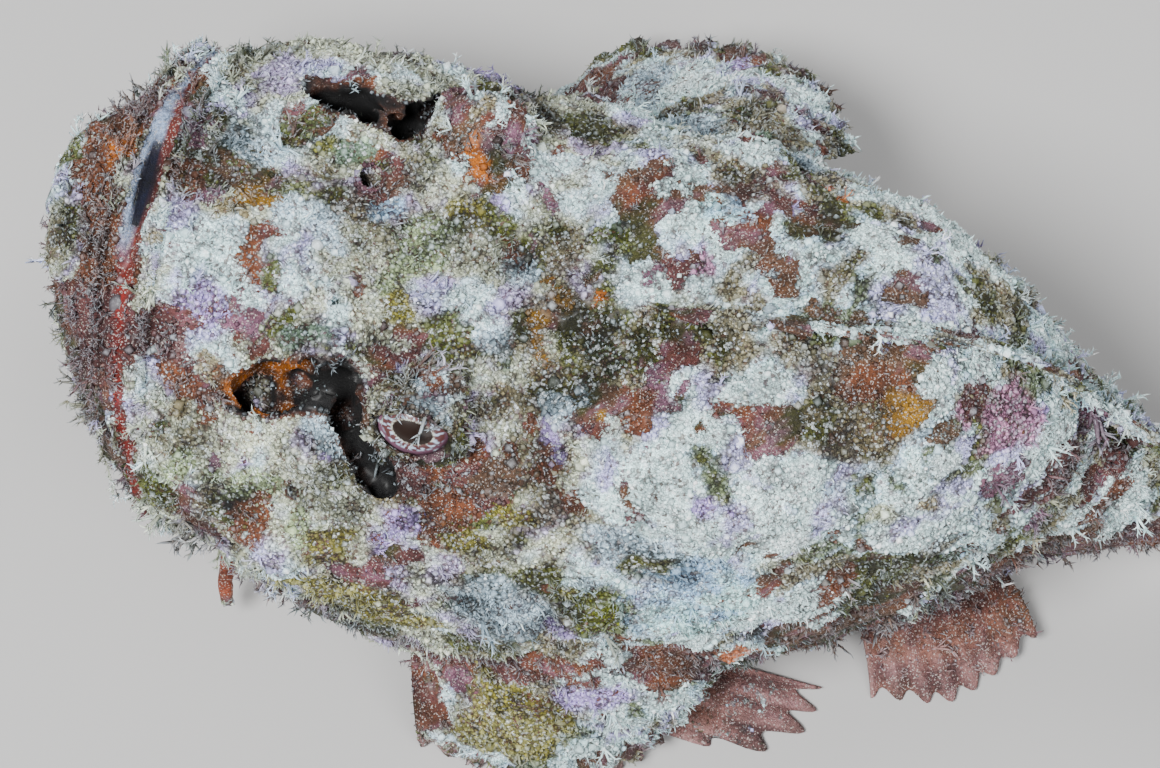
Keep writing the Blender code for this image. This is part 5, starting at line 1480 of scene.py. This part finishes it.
class SkinSettings(bpy.types.PropertyGroup):
    skin_grain: FloatProperty(
        name="Skin detail", description="Edge of the skin's smallest squares", default=0.00091,
        min=0.0005, max=0.003, unit="LENGTH", precision=5,
    )
    coat_depth: FloatProperty(
        name="Coat depth", description="How far the skin lies under the coat", default=0.0006,
        min=0.0, max=0.003, unit="LENGTH", precision=5,
    )
    gape: FloatProperty(
        name="Gape", description="Half width of the mouth's slit", default=0.001,
        min=0.0003, max=0.01, unit="LENGTH", precision=5,
    )
    grain_bump: FloatProperty(
        name="Grain relief", description="Strength of the fine grain", default=0.8, subtype="FACTOR",
    )


class CoatSettings(bpy.types.PropertyGroup):
    grains: IntProperty(name="Grains", description="Number of crust grains", default=90000, min=0)
    fingers: IntProperty(name="Fingers", description="Number of small skin fingers", default=27000, min=0)
    flaps: IntProperty(name="Flaps", description="Number of branched flaps", default=2600, min=0)
    knobs: IntProperty(name="Knobs", description="Number of crust knobs", default=600, min=0)
    grain_size: FloatProperty(
        name="Grain size", description="Radius of a crust grain", default=0.00034, unit="LENGTH", precision=5,
    )
    finger_length: FloatProperty(
        name="Finger length", description="Length of a small skin finger", default=0.0009,
        unit="LENGTH", precision=5,
    )
    flap_length: FloatProperty(
        name="Flap length", description="Length of a branched flap's stem", default=0.0021,
        unit="LENGTH", precision=5,
    )


class StageSettings(bpy.types.PropertyGroup):
    floor_colour: FloatVectorProperty(
        name="Floor colour", description="Colour of the plain floor", default=(0.44, 0.435, 0.43),
        subtype="COLOR", min=0.0, max=1.0,
    )
    light_power: FloatProperty(
        name="Key light", description="Power of the soft key light", default=22.5, unit="POWER",
    )


def less_when_quick(count):
    return count


class FISH_OT_skin(bpy.types.Operator):
    """Builds the one skin over head, jaws, body and tail"""

    bl_idname = "fish.skin"
    bl_label = "Skin"

    def execute(self, context):
        settings = context.scene.fish_skin
        skin = build_skin(settings)
        dress(skin, crusted_material("crusted skin", 1.0, settings.grain_bump, True), "skin", *FLESH)
        return {"FINISHED"}


class FISH_OT_paired_fins(bpy.types.Operator):
    """Builds the pectoral and pelvic fins"""

    bl_idname = "fish.paired_fins"
    bl_label = "Paired fins"

    def execute(self, context):
        material = crusted_material("crusted fin skin", 1.0, 0.8, True)
        for side, name in ((-1.0, "left"), (1.0, "right")):
            lists = LEFT_PECTORAL if side < 0 else RIGHT_PECTORAL
            grid, ridge, out = fan_grid(lists, side, 16, 0.07)
            made = fin_object(f"pectoral_{name}", grid, ridge, out, 3.0 * MM, 0.9 * MM, 0.0, 0.15)
            dress(made, material, "fin", f"pectoral_fin_{name}")
            grid, ridge, out = fan_grid(PELVIC, side, 6, 0.08, 10)
            made = fin_object(f"pelvic_{name}", grid, ridge, out, 2.0 * MM, 0.8 * MM, 0.6, 0.7)
            dress(made, material, "rust_skin", f"pelvic_fin_{name}")
        return {"FINISHED"}


class FISH_OT_median_fins(bpy.types.Operator):
    """Builds the fins of the back, the anal fin and the tail fin"""

    bl_idname = "fish.median_fins"
    bl_label = "Fins of the midline"

    def execute(self, context):
        material = crusted_material("crusted median fin", 1.0, 0.8, True)
        made = fin_object("spiny_dorsal", *back_fin_grid(*SPINY_DORSAL, 0.45), 2.4 * MM, 1.0 * MM, 0.0, 0.1)
        dress(made, material, "fin", "spiny_dorsal_fin")
        made = fin_object("soft_dorsal", *back_fin_grid(*SOFT_DORSAL, 0.12), 2.0 * MM, 0.8 * MM, 0.3, 0.2)
        dress(made, material, "fin", "soft_dorsal_fin")
        made = fin_object("anal", *fan_grid(ANAL, 1.0, 8, 0.07), 2.4 * MM, 0.9 * MM, 0.3, 0.8)
        dress(made, material, "rust_skin", "anal_fin")
        made = fin_object("caudal", *fan_grid(CAUDAL, 1.0, 12, 0.06), 3.0 * MM, 0.8 * MM, 0.5, 0.25)
        dress(made, material, "fin", "caudal_fin")
        return {"FINISHED"}


class FISH_OT_eyes(bpy.types.Operator):
    """Builds the eyeballs"""

    bl_idname = "fish.eyes"
    bl_label = "Eyes"

    def execute(self, context):
        material = wet_material("wet eye", 0.35)
        for side in (-1.0, 1.0):
            made, node = eyeball(side)
            dress(made, material, "eye", node)
        return {"FINISHED"}


class FISH_OT_grains(bpy.types.Operator):
    """Covers skin and fins with crust grains and knobs"""

    bl_idname = "fish.grains"
    bl_label = "Crust grains"

    def execute(self, context):
        settings = context.scene.fish_coat
        rng = np.random.default_rng(5)
        gather_ground(
            "skin", "pectoral_left", "pectoral_right", "pelvic_left", "pelvic_right",
            "spiny_dorsal", "soft_dorsal", "anal", "caudal",
        )
        material = crusted_material("crust grains", 0.25, 0.3)
        middle = GROUND["middle"]
        crusty = 0.25 + crust_cover(middle)
        for label, count, size, low in (
            ("grains", settings.grains, settings.grain_size, 0.0),
            ("knobs", settings.knobs, settings.grain_size * 1.7, 0.3),
        ):
            count = less_when_quick(count)
            roots, normals, straight, unwrap = sprout(count, crusty**(1.0 + low * 6.0), rng)
            shapes, faces = (grain_shapes if label == "grains" else knob_shapes)(count, rng)
            sizes = size * rng.lognormal(-0.15, 0.42, count)
            axes = axes_at(normals, straight, rng, 0.0, 0.15)
            points = keep_in_box(planted(roots, axes, sizes, shapes))
            colours = tuft_colours(straight, shapes, rng, rng.random(count) ** 3 * 0.7, 0.6)
            for made in coat_object(f"crust_{label}", points, faces, colours, unwrap, shapes):
                dress(made, material, "skin")
        return {"FINISHED"}


class FISH_OT_fingers(bpy.types.Operator):
    """Covers skin and fins with small skin fingers"""

    bl_idname = "fish.fingers"
    bl_label = "Skin fingers"

    def execute(self, context):
        settings = context.scene.fish_coat
        rng = np.random.default_rng(6)
        material = crusted_material("skin fingers", 0.2, 0.2)
        middle = GROUND["middle"]
        turf = 0.25 + smooth_step(-0.1, 0.3, layered_noise(middle, 6.0 * MM, 95.0, 3))
        count = less_when_quick(settings.fingers)
        turf *= np.where((middle[:, 2] > 0.062) & (middle[:, 0] > 0.07), 0.4, 1.0)
        roots, normals, straight, unwrap = sprout(count, turf, rng)
        shapes, faces = finger_shapes(count, 0.13, rng)
        sizes = settings.finger_length * rng.lognormal(-0.1, 0.35, count)
        axes = axes_at(normals, straight, rng, 0.35, 0.35)
        points = keep_in_box(planted(roots, axes, sizes, shapes))
        colours = tuft_colours(straight, shapes, rng, 0.1 + 0.6 * rng.random(count) ** 2, 0.75)
        for made in coat_object("skin_fingers", points, faces, colours, unwrap, shapes):
            dress(made, material, "skin")
        return {"FINISHED"}


def branched(
    roots, axes, lengths, straight, unwrap, rng, name, material, stems=3, twigs=4, slim=0.085, pales=(0.15, 0.4)
):
    """Flap of a few stems from one root, each with twigs from its upper part."""
    count = len(roots)
    stem_root = np.repeat(roots, stems, axis=0)
    stem_axes = np.repeat(axes, stems, axis=0)
    lean = rng.normal(0.0, 0.45, (count * stems, 2))
    out = normalized(stem_axes[:, 2] + stem_axes[:, 0] * lean[:, :1] + stem_axes[:, 1] * lean[:, 1:])
    side = normalized(np.cross(out, stem_axes[:, 0] + 0.01))
    stem_axes = np.stack([side, np.cross(out, side), out], axis=1)
    stem_size = np.repeat(lengths, stems) * rng.uniform(0.6, 1.15, count * stems)
    shapes, faces = finger_shapes(count * stems, slim, rng, 4, 0.2)
    stems_made = planted(stem_root, stem_axes, stem_size, shapes)
    height = rng.uniform(0.45, 0.95, count * stems * twigs)
    bent, parent_root, parent, parent_size = (
        np.repeat(values, twigs, axis=0) for values in (shapes[:, -1, :2], stem_root, stem_axes, stem_size)
    )
    local = np.concatenate([bent * (height**2)[:, None], height[:, None]], axis=1)
    twig_root = parent_root + np.einsum("ni,nij->nj", local * parent_size[:, None], parent)
    lean = rng.normal(0.0, 0.9, (len(height), 2))
    out = normalized(parent[:, 2] * 0.8 + parent[:, 0] * lean[:, :1] + parent[:, 1] * lean[:, 1:])
    side = normalized(np.cross(out, parent[:, 0] + 0.01))
    twig_axes = np.stack([side, np.cross(out, side), out], axis=1)
    twig_size = parent_size * rng.uniform(0.3, 0.55, len(height))
    twig_shapes, twig_faces = finger_shapes(len(height), slim * 1.25, rng, 3, 0.3)
    twigs_made = planted(twig_root, twig_axes, twig_size, twig_shapes)
    for label, points, used, shape_faces, repeat, share in (
        ("stems", stems_made, shapes, faces, stems, pales[0]),
        ("twigs", twigs_made, twig_shapes, twig_faces, stems * twigs, pales[1]),
    ):
        places, unwraps = np.repeat(straight, repeat, axis=0), np.repeat(unwrap, repeat, axis=0)
        pale = np.full(len(places), share)
        colours = tuft_colours(places, used, rng, pale, 0.8)
        for made in coat_object(f"{name}_{label}", keep_in_box(points), shape_faces, colours, unwraps, used):
            dress(made, material, "skin")


class FISH_OT_flaps(bpy.types.Operator):
    """Sets branched flaps over the body, denser at the jaw, the corners of the mouth, the cheeks, the brows and
    the tail, sparse on the upper back
    """

    bl_idname = "fish.flaps"
    bl_label = "Branched flaps"

    def execute(self, context):
        settings = context.scene.fish_coat
        rng = np.random.default_rng(7)
        material = crusted_material("branched flaps", 0.15, 0.2)
        middle = GROUND["middle"] / MM
        jaw = np.exp(-(((middle[:, 0] - 14.0) / 12.0) ** 2))
        corner = np.linalg.norm((np.abs(middle) - (31.0, 38.0, 24.0)) / (9.0, 8.0, 12.0), axis=1)
        cheek = np.linalg.norm((np.abs(middle) - (48.0, 43.0, 32.0)) / (18.0, 8.0, 9.0), axis=1)
        brow = np.linalg.norm((np.abs(middle) - (62.0, 24.0, 80.0)) / (12.0, 12.0, 8.0), axis=1)
        upper = (middle[:, 2] > 62.0) & (middle[:, 0] > 70.0)
        weight = np.where(upper, 0.03, 0.15) + 0.9 * jaw
        weight = weight + 2.5 * (corner < 1.0) + 1.6 * (cheek < 1.0) + 0.7 * (brow < 1.0)
        weight += 0.3 * (middle[:, 0] > 150.0)
        count = less_when_quick(settings.flaps)
        roots, normals, straight, unwrap = sprout(count, weight, rng)
        axes = axes_at(normals, straight, rng, 0.25, 0.25)
        lengths = settings.flap_length * rng.lognormal(-0.15, 0.35, count)
        branched(roots, axes, lengths, straight, unwrap, rng, "flap", material)
        return {"FINISHED"}


class FISH_OT_lid_papillae(bpy.types.Operator):
    """Hangs pale branched papillae from the upper lids over the eyes, and rows of small ones below them"""

    bl_idname = "fish.lid_papillae"
    bl_label = "Lid papillae"

    def execute(self, context):
        rng = np.random.default_rng(9)
        material = crusted_material("lid papillae", 0.1, 0.2)
        roots, axes, lengths = [], [], []
        for side in (1.0, -1.0):
            mirror = np.array((1.0, side, 1.0))
            centre, axis = EYE_CENTRE * mirror, LID_AXIS * mirror
            fore, low = frame_of(axis)[:2]
            low = low * -np.sign(low[2])
            fore = fore * np.sign(fore[0])
            for along, down, length in (
                (-2.6, -3.3, 3.6), (0.9, -3.5, 4.2), (3.6, -2.9, 2.4), (-5.0, -1.6, 2.2), (-4.4, 3.0, 1.6),
                (-2.6, 4.3, 1.8), (-0.4, 5.0, 1.5), (2.0, 4.9, 1.9), (4.2, 3.9, 1.6), (5.6, 2.0, 1.5),
            ):
                sphere = math.sqrt((8.1 * MM) ** 2 - (along * MM) ** 2 - (down * MM) ** 2)
                roots.append(centre + fore * along * MM + low * down * MM + axis * sphere)
                lean = 0.62 if down < 0.0 else 0.35
                out = axis * (1.0 - lean) + low * lean + fore * rng.normal(0.0, 0.12)
                out = out / np.linalg.norm(out)
                axes.append(np.stack([fore, np.cross(out, fore), out]))
                lengths.append(length * MM)
        straight = np.array(roots)
        turned = np.array(axes)
        branched(
            bend(straight), turned, np.array(lengths), straight, unwrap_of(straight), rng, "lid_papilla",
            material, 1, 6, 0.07, (0.75, 0.9),
        )
        return {"FINISHED"}


class FISH_OT_lip_fringe(bpy.types.Operator):
    """Sets a fringe of tiny branched flaps along the upper and the lower lip"""

    bl_idname = "fish.lip_fringe"
    bl_label = "Lip fringe"

    def execute(self, context):
        rng = np.random.default_rng(8)
        material = crusted_material("lip fringe", 0.15, 0.2)
        count = 260
        path = lip_curve(count)
        share = np.sin(np.linspace(0.0, math.pi, count))
        centre = np.array((34.0, 0.0, 34.0)) * MM
        outside = normalized(path - centre)
        roots, axes = [], []
        for side, lift in ((1.0, 3.6), (-1.0, 3.4)):
            away = (side * (lift * MM + 1.2 * MM * share))[:, None]
            roots.append(path + LIP_INWARD * away + outside * 0.6 * MM)
            out = normalized(outside - LIP_INWARD * side * 0.35 + rng.normal(0.0, 0.3, outside.shape))
            across = normalized(np.cross(out, rng.normal(size=out.shape)))
            axes.append(np.stack([across, np.cross(out, across), out], axis=1))
        straight = np.concatenate(roots)
        turned = np.concatenate(axes)
        lengths = 1.5 * MM * rng.lognormal(-0.1, 0.3, len(straight))
        branched(
            bend(straight), turned, lengths, straight, unwrap_of(straight), rng, "lip_fringe", material, 2, 3
        )
        return {"FINISHED"}


class FISH_OT_stage(bpy.types.Operator):
    """Sets the plain floor, the soft lights and the camera"""

    bl_idname = "fish.stage"
    bl_label = "Stage"

    def execute(self, context):
        settings = context.scene.fish_stage
        half = 3.0
        corners = np.array(((-half, -half, 0), (half, -half, 0), (half, half, 0), (-half, half, 0)), float)
        floor = mesh_object("floor", corners, np.array(((0, 1, 2, 3),)))
        plain = painted_material("plain floor", Base_Color=(*settings.floor_colour, 1.0), Roughness=0.9)
        floor.data.materials.append(plain[0])
        for name, place, size, share in LIGHTS:
            lamp = bpy.data.lights.new(name, "AREA")
            lamp.shape, lamp.size, lamp.energy = "DISK", size, settings.light_power * share
            holder = bpy.data.objects.new(name, lamp)
            holder.location = place
            holder.rotation_euler = Vector(place).to_track_quat("Z", "Y").to_euler()
            bpy.context.scene.collection.objects.link(holder)
        world = bpy.data.worlds.new("soft air")
        world.use_nodes = True
        world.node_tree.nodes["Background"].inputs["Color"].default_value = (0.86, 0.9, 0.95, 1.0)
        world.node_tree.nodes["Background"].inputs["Strength"].default_value = 0.22
        context.scene.world = world
        lens = bpy.data.cameras.new("photo view")
        lens.lens, lens.sensor_width = CAMERA_LENS
        lens.clip_start = 0.01
        camera = bpy.data.objects.new("photo view", lens)
        camera.matrix_world = Matrix.Translation(CAMERA_PLACE) @ Matrix(CAMERA_TURN).to_4x4()
        bpy.context.scene.collection.objects.link(camera)
        context.scene.camera = camera
        return {"FINISHED"}


class FISH_PT_pieces(bpy.types.Panel):
    """Lists the pieces and their settings"""

    bl_label = "Scorpionfish"
    bl_idname = "FISH_PT_pieces"
    bl_space_type = "VIEW_3D"
    bl_region_type = "UI"
    bl_category = "Scorpionfish"

    def draw(self, context):
        for operator in OPERATORS:
            self.layout.operator(operator.bl_idname)
        for settings in (context.scene.fish_skin, context.scene.fish_coat, context.scene.fish_stage):
            for name in settings.bl_rna.properties.keys():
                if name not in ("rna_type", "name"):
                    self.layout.prop(settings, name)


SETTINGS = {"fish_skin": SkinSettings, "fish_coat": CoatSettings, "fish_stage": StageSettings}
OPERATORS = (
    FISH_OT_skin, FISH_OT_paired_fins, FISH_OT_median_fins, FISH_OT_eyes, FISH_OT_grains,
    FISH_OT_fingers, FISH_OT_flaps, FISH_OT_lip_fringe, FISH_OT_lid_papillae, FISH_OT_stage,
)


def register():
    """Registers settings, operators and panel."""
    for item in (*SETTINGS.values(), *OPERATORS, FISH_PT_pieces):
        bpy.utils.register_class(item)
    for name, settings in SETTINGS.items():
        setattr(bpy.types.Scene, name, PointerProperty(type=settings))


def unregister():
    """Takes them away again."""
    for name in SETTINGS:
        delattr(bpy.types.Scene, name)
    for item in reversed((*SETTINGS.values(), *OPERATORS, FISH_PT_pieces)):
        bpy.utils.unregister_class(item)


def main():
    """Registers the settings and operators, then builds every piece in order."""
    register()
    bpy.ops.fish.skin()
    bpy.ops.fish.paired_fins()
    bpy.ops.fish.median_fins()
    bpy.ops.fish.eyes()
    bpy.ops.fish.grains()
    bpy.ops.fish.fingers()
    bpy.ops.fish.flaps()
    bpy.ops.fish.lip_fringe()
    bpy.ops.fish.lid_papillae()
    bpy.ops.fish.stage()


if __name__ == "__main__":
    main()
